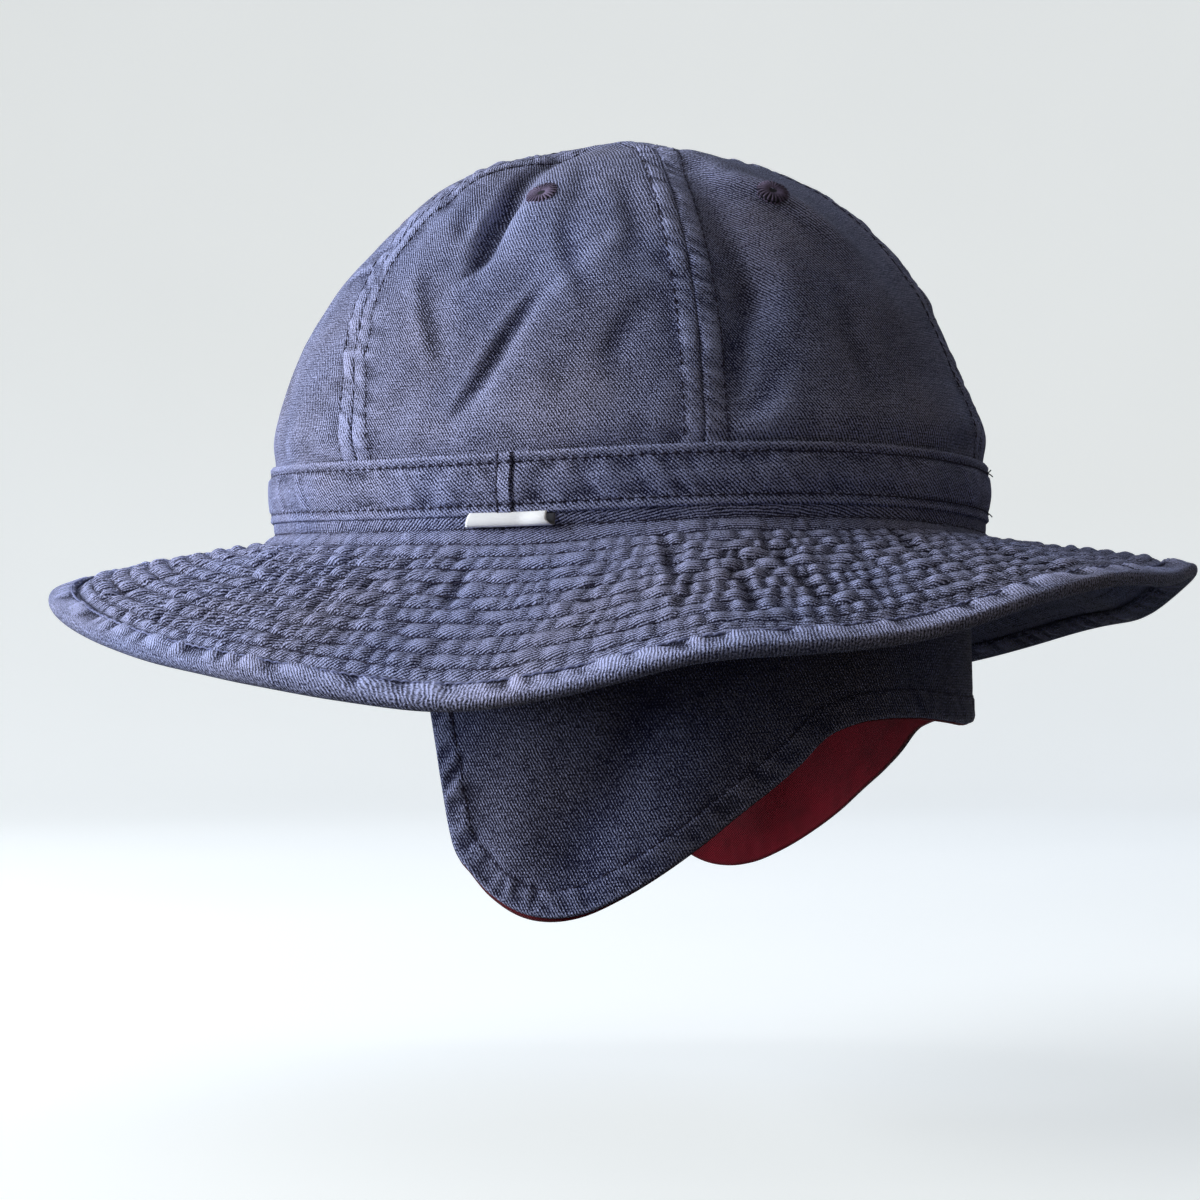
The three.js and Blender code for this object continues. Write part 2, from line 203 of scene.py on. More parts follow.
# How pale the cloth is: its mean, and so much of each part as the look says.
def paleShare(tree, look, **parts):
    share = look["mean"]
    for name, part in parts.items():
        share = calc(tree, "MULTIPLY_ADD", part, look[name], share, clamp=name == "wear")
    return share


def finishMaterial(tree, colour, height, look):
    bump = addNode(tree, "ShaderNodeBump",
        {"Strength": 0.7, "Distance": look["bump"] / metre, "Height": height})
    shader = addNode(tree, "ShaderNodeBsdfPrincipled", {
        "Base Color": colour, "Normal": bump.outputs["Normal"], "Roughness": look.get("roughness", 0.92),
        "Specular IOR Level": 0.18, "Sheen Weight": 0.10, "Sheen Roughness": 0.55,
        "Sheen Tint": look.get("sheenTint", (0.75, 0.78, 1.0, 1)),
    })
    addNode(tree, "ShaderNodeOutputMaterial", {"Surface": shader.outputs["BSDF"]})


# A faded twill. A rib runs at "angle" degrees from the UV map's first axis.
def twillMaterial(name, look):
    material, tree, place = newMaterial(name)
    uv, wear = clothInputs(tree)
    lean = math.radians(look["angle"])
    along, across = (math.cos(lean), math.sin(lean), 0), (-math.sin(lean), math.cos(lean), 0)
    waver = calc(tree, "MULTIPLY_ADD", noise(tree, uv, 0.3, 3), look["waver"], -look["waver"] / 2)
    turns = 2 * math.pi / look["pitch"]
    rib = calc(tree, "MULTIPLY", calc(tree, "ADD", dotWith(tree, uv, across), waver), turns)
    yarn = calc(tree, "MULTIPLY", dotWith(tree, uv, along), 2 * math.pi / look["floatPitch"])
    yarn = calc(tree, "MULTIPLY_ADD", rib, 0.5, yarn)
    floats = calc(tree, "MULTIPLY_ADD", calc(tree, "SINE", yarn), look["floatShare"], 1 - look["floatShare"])
    clarity = calc(tree, "MULTIPLY_ADD", noise(tree, uv, 0.45, 3), 2.2, -0.35, clamp=True)
    weave = calc(tree, "MULTIPLY", calc(tree, "MULTIPLY", calc(tree, "SINE", rib), floats), clarity)
    fleck = noise(tree, uv, 1.9, 3, middle=0.5)
    yarns = addNode(tree, "ShaderNodeMapping", {"Vector": uv, "Scale": (0.16, 1.5, 1)}).outputs["Vector"]
    share = paleShare(
        tree, look, ribContrast=weave, fleck=fleck, slub=noise(tree, yarns, 1.0, 2, middle=0.5),
        patch=noise(tree, place, 30, 4, middle=0.5), cloud=noise(tree, place, 140, 4, middle=0.5), wear=wear)
    hue = calc(tree, "MULTIPLY_ADD", noise(tree, place, 22, 2, middle=0.5), 2.6, 0.5, clamp=True)
    deep, pale = [mixColour(tree, hue, look[shade], look[shade + "Warm"]) for shade in ("deep", "pale")]
    finishMaterial(tree, mixColour(tree, share, deep, pale),
        calc(tree, "MULTIPLY_ADD", fleck, 1.0, weave), look)
    return material


def plainMaterial(name, look):
    material, tree, place = newMaterial(name)
    uv, wear = clothInputs(tree)
    turns = 2 * math.pi / look["pitch"]
    across = calc(tree, "SINE", calc(tree, "MULTIPLY", dotWith(tree, uv, (1, 0, 0)), turns))
    up = calc(tree, "SINE", calc(tree, "MULTIPLY", dotWith(tree, uv, (0, 1, 0)),
        turns * look.get("upShare", 1)))
    weave = calc(tree, "MULTIPLY", across, up)
    share = paleShare(tree, look, ribContrast=weave, patch=noise(tree, place, 60, 3, middle=0.5), wear=wear)
    finishMaterial(tree, mixColour(tree, share, look["deep"], look["pale"]), weave, look)
    return material


def threadMaterial(name, deep, pale, bump=0.05):
    material, tree, place = newMaterial(name)
    strand = noise(tree, place, 2400)
    share = calc(tree, "MULTIPLY_ADD", noise(tree, place, 90, middle=0.5), 1.2, strand, clamp=True)
    finishMaterial(tree, mixColour(tree, share, tone(*deep), tone(*pale)), strand, {"bump": bump})
    return material


def stageMaterial():
    material, tree, place = newMaterial("pale_floor")
    shader = addNode(tree, "ShaderNodeBsdfPrincipled", {
        "Base Color": mixColour(tree, noise(tree, place, 3, 3), tone(206, 210, 212), tone(219, 222, 223)),
        "Roughness": 0.9, "Emission Color": tone(219, 222, 221), "Emission Strength": studio["glow"],
    })
    addNode(tree, "ShaderNodeOutputMaterial", {"Surface": shader.outputs["BSDF"]})
    return material


navy = {
    "angle": -60, "pitch": 0.78, "floatPitch": 0.88, "floatShare": 0.4, "waver": 0.9,
    "deep": tone(12, 16, 55), "deepWarm": tone(20, 18, 31),
    "pale": tone(180, 191, 240), "paleWarm": tone(186, 188, 226),
    "mean": 0.31, "ribContrast": 1.15, "fleck": 3.0, "slub": 0.7, "patch": 0.16, "cloud": 0.3, "wear": 0.32,
    "bump": 0.26,
}
materials = {
    "crown": twillMaterial("crown_twill", navy),
    "band": twillMaterial("band_twill", dict(navy, angle=-45)),
    "brim": twillMaterial("brim_twill", dict(navy, angle=0, wear=0.46, mean=0.3, ribContrast=1.3)),
    "binding": twillMaterial("binding_twill", dict(
        navy, angle=86, pitch=0.88, ribContrast=0.5, mean=0.37, floatShare=0.3, waver=2.1,
        slub=0.6, wear=0.62)),
    # The flap's twill is the crown's cloth made darker, as painted shade for its place under the brim.
    "flap": twillMaterial("flap_twill", dict(navy, mean=0.1, wear=0.3)),
    "lining": plainMaterial("flap_lining", {
        "pitch": 0.8, "deep": tone(54, 5, 15), "pale": tone(142, 18, 38), "mean": 0.42, "ribContrast": 0.4,
        "patch": 0.7, "wear": 0.4, "bump": 0.12, "sheenTint": (1.0, 0.7, 0.75, 1)}),
    # The label's inner face, inside the fold, takes the dark colour as painted shade; the outer face is pale.
    "label": plainMaterial("label_weave", {
        "pitch": 0.34, "upShare": 0.6, "deep": tone(38, 40, 58), "pale": tone(250, 250, 252), "mean": -0.25,
        "ribContrast": 0.05, "patch": 0.1, "wear": 1.25, "bump": 0.05, "roughness": 0.75}),
    "seamThread": threadMaterial("seam_thread", (16, 15, 26), (58, 54, 78)),
    "edgeThread": threadMaterial("edge_thread", (84, 90, 130), (154, 160, 200)),
    "eyeletThread": threadMaterial("eyelet_thread", (56, 47, 70), (140, 126, 156), bump=0.06),
    # Painted shade for the eyelets' holes.
    "eyeletPitShade": threadMaterial("eyelet_pit_painted_shade", (14, 12, 16), (30, 26, 34)),
}

makeCamera()
makeSweep(stageMaterial())
for lampName, lamp in lamps.items():
    makeLamp(lampName, *lamp)
makeWorld()
bpy.context.scene.view_settings.view_transform = "Standard"
print("camera, floor, lights and materials made")


# Shape helpers
def smoothstep(x, low, high):
    t = np.clip((x - low) / (high - low), 0, 1)
    return t * t * (3 - 2 * t)


# 1 before low and 0 after high.
def falling(x, low, high):
    return 1 - smoothstep(x, low, high)


# Rises from a to b, and falls from c to d.
def window(x, a, b, c, d):
    return smoothstep(x, a, b) * falling(x, c, d)


def bell(x, width):
    return np.exp(-((x / width) ** 2))


def normalized(vectors):
    return vectors / np.linalg.norm(vectors, axis=-1, keepdims=True)


# A smooth curve through the rows of a table.
def readTable(rows, at):
    x, y = np.array(rows, float).T
    last = len(x) - 1
    at = np.clip(np.asarray(at, float), x[0], x[-1])
    before = np.clip(np.searchsorted(x, at, side="left") - 1, 0, last - 1)
    low, high = np.maximum(np.arange(last + 1) - 1, 0), np.minimum(np.arange(last + 1) + 1, last)
    slope = (y[high] - y[low]) / (x[high] - x[low])
    span = x[before + 1] - x[before]
    t = (at - x[before]) / span
    rise = y[before + 1] - y[before]
    bendBefore, bendAfter = slope[before] * span - rise, rise - slope[before + 1] * span
    return y[before] + rise * t + t * (1 - t) * (bendBefore * (1 - t) + bendAfter * t)


# A smooth random curve between -1 and 1, with a new value every whole number. "around" closes it.
def wander(x, seed, around=4096):
    values = np.random.RandomState(seed).uniform(-1, 1, 4096)
    whole = np.floor(x).astype(int)
    t = smoothstep(x - whole, 0, 1)
    return values[whole % around] * (1 - t) + values[(whole + 1) % around] * t


# Smooth random lumps in space. Each layer has its pitch, its height and its seed.
def lumps(points, *layers):
    total = 0
    for pitch, height, seed in layers:
        size = 64
        values = np.random.RandomState(seed).uniform(-1, 1, (size, size, size))
        x = points / pitch + 31.5
        whole = np.floor(x).astype(int)
        t = smoothstep(x - whole, 0, 1)
        for corner in itertools.product((0, 1), repeat=3):
            i, j, k = np.moveaxis((whole + corner) % size, -1, 0)
            total = total + height * values[i, j, k] * np.abs(1 - np.array(corner) - t).prod(-1)
    return total


def blurred(field, passes, isRing):
    for _ in range(passes):
        wide = np.pad(field, ((1, 1), (0, 0)), "wrap" if isRing else "edge")
        field = (wide[:-2] + 2 * field + wide[2:]) / 4
        wide = np.pad(field, ((0, 0), (1, 1)), "edge")
        field = (wide[:, :-2] + 2 * field + wide[:, 2:]) / 4
    return field


# How worn and shaded each point is: raised spots are rubbed pale, and hollows are painted dark as shade.
def wearOf(height, isRing, fine=0.16, broad=0.6):
    near = height - blurred(height, 6, isRing)
    wide = blurred(height, 3, isRing) - blurred(height, 40, isRing)
    return np.clip(near / fine, -1.2, 1) * 0.6 + np.clip(wide / broad, -1, 1) * 0.4


# The point nearest the origin on a line from a that goes on by l: how far along it lies, from 0 to 1, how far
# off, and on which side.
def nearestOnLine(ax, ay, lx, ly):
    share = np.clip(-(ax * lx + ay * ly) / (lx * lx + ly * ly), 0, 1)
    return share, np.hypot(ax + lx * share, ay + ly * share), np.sign(lx * ay - ly * ax)


# A closed shell from two grids of points (columns x rows). The inner grid may be coarser by a whole step,
# or have only the rows in rowPick. Where a ring closes, the UV map goes on by wrap.
def makeShell(name, outer, inner, uv, wear, material, isRing=False, wrap=0.0, rowPick=None, innerWearAndShade=0.3):
    grids = outer.shape[:2], inner.shape[:2]
    (columns, rows), (innerColumns, innerRows) = grids
    outerAt = np.arange(columns * rows).reshape(columns, rows)
    innerAt = columns * rows + np.arange(innerColumns * innerRows).reshape(innerColumns, innerRows)
    if isRing:
        outerAt, innerAt = np.append(outerAt, outerAt[:1], 0), np.append(innerAt, innerAt[:1], 0)
    step = (len(outerAt) - 1) // (len(innerAt) - 1)
    if not rowPick:
        rowPick = np.arange(innerRows) * ((rows - 1) // (innerRows - 1))
    pick = np.ix_(np.arange(innerColumns) * step, rowPick)

    def rim(outerEdge, innerEdge):
        step = (len(outerEdge) - 1) // (len(innerEdge) - 1)
        runs = [outerEdge[i::step][: len(innerEdge) - 1] for i in range(step + 1)]
        return np.stack([*runs, innerEdge[1:], innerEdge[:-1]], 1)

    faces = quads(outerAt) + quads(innerAt.T)
    faces += rim(outerAt[:, 0], innerAt[:, 0])[:, ::-1].tolist()
    faces += rim(outerAt[:, -1], innerAt[:, -1]).tolist()
    if not isRing:
        faces += np.roll(rim(outerAt[0], innerAt[0]), 1, 1).tolist()
        faces += rim(outerAt[-1], innerAt[-1])[:, ::-1].tolist()
    mesh = newMesh(name, np.concatenate([outer.reshape(-1, 3), inner.reshape(-1, 3)]), faces)
    sizes, loops = np.array([len(face) for face in faces]), np.concatenate(faces)
    loopUv = np.concatenate([uv.reshape(-1, 2), uv[pick].reshape(-1, 2)])[loops]
    around = [np.repeat(np.arange(count) / count, each) for count, each in grids]
    around = np.concatenate(around)[loops]
    farthest = np.repeat(np.maximum.reduceat(around, np.cumsum(sizes) - sizes), sizes)
    loopUv[(around == 0) & (farthest > 0.5), 0] += wrap
    mesh.uv_layers.new(name="cloth").data.foreach_set("uv", loopUv.ravel())
    # Inner faces take less of the wear and painted shade.
    wears = np.concatenate([wear.ravel(), wear[pick].ravel() * innerWearAndShade])
    mesh.attributes.new("wear", "FLOAT", "POINT").data.foreach_set("value", wears)
    mesh.shade_smooth()
    mesh.validate()
    return newObject(name, mesh, material)


# Stitches: threads laid one after another along lines, each an arch whose ends dip into the cloth.
def stitchTree():
    tree = bpy.data.node_groups.new("stitchRows", "GeometryNodeTree")
    inputs = {
        "Lines": "Geometry", "Pitch": 0.003, "Length": 0.0022, "Thickness": 0.0004, "Rise": 0.0003,
        "Turn": 0.0,
        "Unevenness": 0.1, "Steps": 4, "Sides": 5, "Seed": 1, "Thread": "Material",
    }
    for name, value in inputs.items():
        kind = {str: value, int: "Int", float: "Float"}[type(value)]
        socket = tree.interface.new_socket(name=name, in_out="INPUT", socket_type=f"NodeSocket{kind}")
        if kind != value:
            socket.default_value = value
    tree.interface.new_socket(name="Stitches", in_out="OUTPUT", socket_type="NodeSocketGeometry")
    given = addNode(tree, "NodeGroupInput").outputs

    def times(name, share):
        return calc(tree, "MULTIPLY", given[name], share)

    def vector(**parts):
        return addNode(tree, "ShaderNodeCombineXYZ", parts).outputs[0]

    line = addNode(tree, "GeometryNodeMeshToCurve", {"Mesh": given["Lines"]}).outputs["Curve"]
    dots = addNode(tree, "GeometryNodeResampleCurve",
        {"Curve": line, "Length": given["Pitch"]}, mode="LENGTH")
    dip = times("Thickness", -0.6)
    arch = addNode(tree, "GeometryNodeCurveQuadraticBezier", {
        "Resolution": given["Steps"], "Start": vector(X=times("Length", -0.5), Z=dip),
        "Middle": vector(Z=times("Rise", 2.0)), "End": vector(X=times("Length", 0.5), Z=dip)})
    section = addNode(tree, "GeometryNodeCurvePrimitiveCircle", {
        "Resolution": given["Sides"], "Radius": times("Thickness", 0.5)}, mode="RADIUS")
    strand = addNode(tree, "GeometryNodeCurveToMesh", {
        "Curve": arch.outputs["Curve"], "Profile Curve": section.outputs["Curve"], "Fill Caps": True})
    tangent = addNode(tree, "GeometryNodeInputTangent").outputs["Tangent"]
    facing = addNode(tree, "GeometryNodeInputNamedAttribute", {"Name": "facing"}, data_type="FLOAT_VECTOR")
    ahead = addNode(tree, "FunctionNodeAlignRotationToVector", {"Vector": tangent}, axis="X")
    up = addNode(tree, "FunctionNodeAlignRotationToVector", {
        "Rotation": ahead.outputs["Rotation"], "Vector": facing.outputs["Attribute"]},
        axis="Z", pivot_axis="X")
    stray = addNode(tree, "FunctionNodeRandomValue", {
        "Min": times("Unevenness", -1.0), "Max": given["Unevenness"],
        "Seed": given["Seed"]}, data_type="FLOAT")
    stray = next(socket for socket in stray.outputs if socket.enabled)
    spin = addNode(tree, "FunctionNodeEulerToRotation",
        {"Euler": vector(Z=calc(tree, "ADD", given["Turn"], stray))})
    rotation = addNode(tree, "FunctionNodeRotateRotation", {
        "Rotation": up.outputs["Rotation"], "Rotate By": spin.outputs["Rotation"]}, rotation_space="LOCAL")
    laid = addNode(tree, "GeometryNodeInstanceOnPoints", {
        "Points": dots.outputs["Curve"], "Instance": strand.outputs["Mesh"],
        "Rotation": rotation.outputs["Rotation"],
        "Scale": vector(X=calc(tree, "ADD", 1.0, stray), Y=1.0, Z=1.0)})
    real = addNode(tree, "GeometryNodeRealizeInstances", {"Geometry": laid.outputs["Instances"]})
    smooth = addNode(tree, "GeometryNodeSetShadeSmooth", {"Geometry": real.outputs["Geometry"]})
    coloured = addNode(tree, "GeometryNodeSetMaterial",
        {"Geometry": smooth.outputs[0], "Material": given["Thread"]})
    addNode(tree, "NodeGroupOutput", {"Stitches": coloured.outputs["Geometry"]})
    return tree


stitchRows = stitchTree()
usualStitch = {"thickness": 0.42, "turn": 0, "uneven": 0.1, "steps": 4, "sides": 5, "seed": 1}


# Rows of stitches along lines, each line (points, facings, closed), in millimetres.
def makeStitches(name, lines, look, material):
    look = {**usualStitch, **look}
    edges, start = [], 0
    for points, _, closed in lines:
        count = len(points)
        edges += [(start + i, start + (i + 1) % count) for i in range(count if closed else count - 1)]
        start += count
    mesh = newMesh(f"{name}_lines", np.concatenate([line[0] for line in lines]), [], edges)
    facings = np.concatenate([line[1] for line in lines])
    facing = mesh.attributes.new("facing", "FLOAT_VECTOR", "POINT")
    facing.data.foreach_set("vector", facings.astype(np.float32).ravel())
    guide = newObject(f"{name}_lines", mesh)
    modifier = guide.modifiers.new("stitches", "NODES")
    modifier.node_group = stitchRows
    values = {key.title(): look[key] / metre for key in ("pitch", "length", "thickness", "rise")}
    values.update({key.title(): look[key] for key in ("steps", "sides", "seed")})
    values.update({"Turn": math.radians(look["turn"]), "Unevenness": look["uneven"], "Thread": material})
    for socket in stitchRows.interface.items_tree:
        if socket.in_out == "INPUT" and socket.name in values:
            modifier[socket.identifier] = values[socket.name]
    bpy.context.view_layer.update()
    laid = bpy.data.meshes.new_from_object(guide.evaluated_get(bpy.context.evaluated_depsgraph_get()))
    laid.name = name
    made = newObject(name, laid)
    bpy.data.objects.remove(guide)
    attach(made, "root")
    return made


# What a finished piece is: it rides on the cap's one body, and stands for a node of the CAD or adds to it.
def place(made, slot, node=None):
    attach(made, "root")
    if node:
        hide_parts(node)
    return made


# The cap's own shape, as the CAD source has it
foot = {"halfLength": 104.0, "halfWidth": 84.9, "wave": 1.2, "crest": 137, "times": 3}


def sinCos(degrees):
    return np.sin(np.radians(degrees)), np.cos(np.radians(degrees))


def footWave(angle):
    return foot["wave"] * np.cos(np.radians(foot["times"] * (angle - foot["crest"])))


def footPoint(angle, out, height):
    angle, out, height = np.broadcast_arrays(np.asarray(angle, float), out, height)
    s, c = sinCos(angle)
    outX, outY = s * foot["halfLength"], -c * foot["halfWidth"]
    scale = out / np.hypot(outX, outY)
    x, y = s * foot["halfWidth"] + outX * scale, -c * foot["halfLength"] + outY * scale
    return np.stack([x, y, height + footWave(angle)], -1)


def footOut(angle):
    return footPoint(angle, 1, 0) - footPoint(angle, 0, 0)


# The length along a line of points, from its first.
def runAlong(points):
    return np.concatenate([[0], np.cumsum(np.linalg.norm(np.diff(points, axis=0), axis=1))])


# Distance round the cap's foot, in millimetres, from the front.
ringAngles = np.linspace(-360, 720, 4321)
ringRun = runAlong(footPoint(ringAngles, 0, 0))
ringRun -= np.interp(0, ringAngles, ringRun)
footLength = float(np.interp(360, ringAngles, ringRun))


def runOf(angle):
    return np.interp(angle, ringAngles, ringRun)


# As wander, round the foot, with a new value about every so many millimetres.
def footWander(run, pitch, seed, shift=0.0):
    return wander(run / pitch + shift, seed, int(round(footLength / pitch)))


# Crown
crown = {
    "centre": 12, "foot": 1.0, "panels": 6, "thickness": 1.2, "columns": 96, "rows": 222, "innerStep": 3,
    "lumps": [(26, 0.7, 5), (11, 0.34, 6), (4.5, 0.08, 8)],
    "stitch": {"pitch": 3.0, "length": 2.3, "rise": 0.16, "uneven": 0.06},
    "front": [(0, 104.0), (1.6, 104.0), (6, 105.2), (15, 104.3), (30, 102.2), (45, 99.6), (60, 99.7),
        (75, 97.8), (90, 97.2)],
    "back": [(0, 104.0), (1.6, 104.0), (6, 105.4), (15, 101.6), (30, 100.4), (45, 99.6), (60, 97.8),
        (75, 95.4), (90, 97.2)],
    "frontSeams": [(-7, 1), (5, 1), (20, -4), (40, -12), (55, -12), (75, -5), (90, 0)],
    "rearSeams": [(-7, -2.4), (5, -2.4), (20, -1.4), (40, 0), (55, 1.5), (75, 5), (90, 5)],
}
# Dents along a line between two directions (angle, rise). A negative depth is a ridge.
crownDents = [((70, 74), (72, 54), 9, 2.6), ((72, 54), (75, 38), 8, 1.8), ((91, 33), (79, 9), 8, 0.7),
    ((130, 58), (129, 28), 9, 2.4), ((129, 28), (123, 7), 8, 1.6), ((137, 64), (156, 38), 9, -1.8)]
# Finer folds of the cloth: a line of directions, the widths before and after it, and the depth.
crownCreases = [([(66, 76), (69, 66), (71.8, 55), (73.6, 47.5), (74.8, 42), (75.8, 37)], 7.5, 2.6, 3.8),
    ([(70.5, 62), (73.2, 53), (75, 46), (75.6, 40), (74.5, 35)], 3.0, 1.3, 1.3),
    ([(64, 38), (67, 32.5), (72.5, 24), (75.5, 18)], 5.0, 2.6, 1.4),
    ([(60, 55), (66, 47), (70, 43)], 4.0, 3.0, 0.8), ([(92, 66), (96, 58), (96, 50)], 5.0, 3.5, 0.9),
    ([(92, 32), (89.5, 28.6), (86.4, 22.3), (82.8, 14.3), (79.3, 8)], 3.4, 1.8, 1.9),
    ([(110, 45), (101, 36), (94, 30)], 6.0, 4.0, -0.6),
    ([(95, 51), (94.6, 44), (98, 35), (101, 27)], 5.0, 3.0, 1.0),
    ([(104, 60), (109, 52), (110, 44), (108, 36)], 5.0, 3.0, 1.0),
    ([(112, 30), (106, 23), (103, 16)], 5.0, 3.0, 0.9), ([(94, 20), (97, 11)], 4.0, 4.0, 0.5),
    ([(31, 35), (46, 38.5)], 2.2, 1.6, -1.1), ([(34, 40), (49, 43)], 2.0, 2.4, 0.9),
    ([(50, 21), (63, 19.5)], 1.6, 2.2, -1.0), ([(51, 26), (64, 23.5)], 2.4, 2.0, 0.8),
    ([(40, 62), (50, 55), (58, 50)], 4.0, 3.0, 0.9),
    ([(130, 55), (129.5, 45), (129.6, 29), (126.6, 22.4), (124, 16), (122.5, 5)], 3.4, 4.5, 1.0),
    ([(135.8, 65.5), (137.2, 55), (144.5, 50.9), (150.3, 45.8), (156.2, 36.3)], 4.0, 4.0, -1.5),
    ([(135, 19), (126, 8), (122.4, 4.7)], 3.4, 3.4, 0.9), ([(150, 33), (146, 20), (148, 8)], 5.0, 5.0, 0.8),
    ([(20, 62), (30, 44), (27, 25)], 6.0, 5.0, 1.4), ([(205, 66), (214, 46), (208, 26)], 6.0, 4.5, 1.8),
    ([(262, 70), (276, 50), (272, 30)], 7.0, 4.0, 2.4), ([(245, 34), (255, 12)], 4.5, 4.5, 1.2),
    ([(318, 58), (327, 38), (322, 14)], 5.5, 4.5, 1.5)]
# fade says how strongly the puckers are rubbed pale on top and painted dark with shade in their dips.
seamLook = {"allowance": 5.5, "raise": 0.4, "bulge": 0.06, "groove": 0.5, "rowDepth": 0.36, "pucker": 0.4,
            "puckerPitch": 3.3, "fade": 0.8}


# As nearestOnLine, in millimetres on the crown, for a line between two directions.
def nearestOnCrown(start, end, angle, rise):
    upwards = foot["halfLength"] * math.radians(1)
    level = upwards * np.cos(np.radians(rise))
    run, climb = end[0] - start[0], end[1] - start[1]
    return nearestOnLine((start[0] - angle) * level, (start[1] - rise) * upwards,
        run * level, climb * upwards)


def dentDepth(angle, rise):
    total = 0
    for start, end, width, depth in crownDents:
        _, distance, _ = nearestOnCrown(start, end, angle, rise)
        total = total + depth * bell(distance, width)
    return total


def crownPoint(angle, rise):
    angle, rise = np.broadcast_arrays(np.asarray(angle, float), np.asarray(rise, float))
    (s, c), (high, flat) = sinCos(angle), sinCos(rise)
    front, back = readTable(crown["front"], rise), readTable(crown["back"], rise)
    narrow = foot["halfWidth"] / foot["halfLength"]
    dent = dentDepth(angle, rise) * smoothstep(rise, 1.6, 8)
    endReach = back + (front - back) * (1 + c) / 2 - dent
    sideReach = (front + back) / 2 * (narrow + (1 - narrow) * high**2) - dent
    height = high * (endReach * c * c + sideReach * s * s)
    height = height + footWave(angle) * np.exp(-np.maximum(rise, 0) / 10)
    dome = np.stack([sideReach * flat * s, -endReach * flat * c, crown["centre"] + height], -1)
    wall = footPoint(angle, 0, crown["centre"] + np.radians(rise) * foot["halfLength"])
    return np.where((rise <= 0)[..., None], wall, dome)


def crownNormal(angle, rise):
    step = 0.4
    across = crownPoint(angle + step, rise) - crownPoint(angle - step, rise)
    up = crownPoint(angle, np.minimum(rise + step, 89.9)) - crownPoint(angle, rise - step)
    return normalized(np.cross(across, up))


# Where a panel's two seams run, as angles.
def panelEdges(panel, rise):
    edges = []
    for seam in (panel, panel + 1):
        angle = 360 / crown["panels"] * seam
        side = np.sign(round(math.sin(math.radians(angle)) * 10))
        table = crown["frontSeams"] if math.cos(math.radians(angle)) > 0 else crown["rearSeams"]
        edges.append(angle + side * readTable(table, rise))
    return edges


# The fold lines; "before" is a line's left, looking from outside.
def creaseRelief(angle, rise):
    total = 0
    for path, before, after, depth in crownCreases:
        nearest, side, fade = np.full(angle.shape, 1e9), 1, 0
        for i, (start, end) in enumerate(zip(path, path[1:])):
            share, distance, at = nearestOnCrown(start, end, angle, rise)
            closer = distance < nearest
            nearest, side = np.where(closer, distance, nearest), np.where(closer, at, side)
            fade = np.where(closer, (i + share) / (len(path) - 1), fade)
        ends = np.sin(np.pi * fade**1.3) * 0.85 + 0.15
        total = total - depth * ends * bell(nearest, np.where(side > 0, after, before))
    return total


riseTable = np.linspace(-8, 90, 197)
riseRun = 13 + np.radians(riseTable) * 101.0
panelWidths = []
for panel in range(crown["panels"]):
    low, high = panelEdges(panel, riseTable)
    track = crownPoint(low + (high - low) * np.linspace(0, 1, 41)[:, None], riseTable)
    panelWidths.append(np.linalg.norm(np.diff(track, axis=0), axis=-1).sum(0))


# What a seam does to the cloth beside it. side is +1 on the panel after the seam and -1 before it.
def seamRelief(distance, along, side, seed):
    look = seamLook
    wide = look["allowance"]
    raised = look["raise"] * falling(distance, wide - 0.2, wide + 1.0)
    bulge = look["bulge"] * np.sin(np.pi * np.clip(distance / wide, 0, 1))
    groove = -look["groove"] * np.exp(-distance / 0.5) - look["rowDepth"] * bell(distance - wide, 0.55)
    phase = along / look["puckerPitch"] + 0.1 * side * distance + 0.4 * wander(along / 9, seed + 11)
    puff = wander(phase, seed) + 0.7 * wander(phase * 2.1 + 0.3 * side * distance, seed + 7)
    within = window(distance, 0, 1.5, wide - 0.8, wide + 0.2)
    beyond = window(distance, wide, wide + 1.5, wide + 2, wide + 8)
    pucker = look["pucker"] * (puff * within + 0.6 * wander(phase * 0.8 + 9, seed + 3) * beyond)
    return np.stack([raised + bulge + groove + pucker, pucker])


# The outer face of a panel: share is 0 at its first seam and 1 at its next.
def panelSurface(panel, share, rise):
    low, high = panelEdges(panel, rise)
    angle = low + (high - low) * share
    base = crownPoint(angle, rise)
    width = np.interp(rise, riseTable, panelWidths[panel])
    along = np.interp(rise, riseTable, riseRun)
    soft = creaseRelief(angle, rise) * smoothstep(rise, 3, 10) + lumps(base, *crown["lumps"])
    soft = soft + 0.35 * footWander(runOf(angle), 5.5, 21) * bell(rise - 3.5, 3.2)
    soft = soft * smoothstep(rise, 1.2, 4)
    first = seamRelief(share * width, along, 1, 100 + panel)
    last = seamRelief((1 - share) * width, along, -1, 100 + (panel + 1) % crown["panels"])
    seams, pucker = (first + last) * smoothstep(width, 4, 36) * smoothstep(rise, 0.6, 2.0)
    return base, crownNormal(angle, rise), soft + seams, soft, along, width, pucker


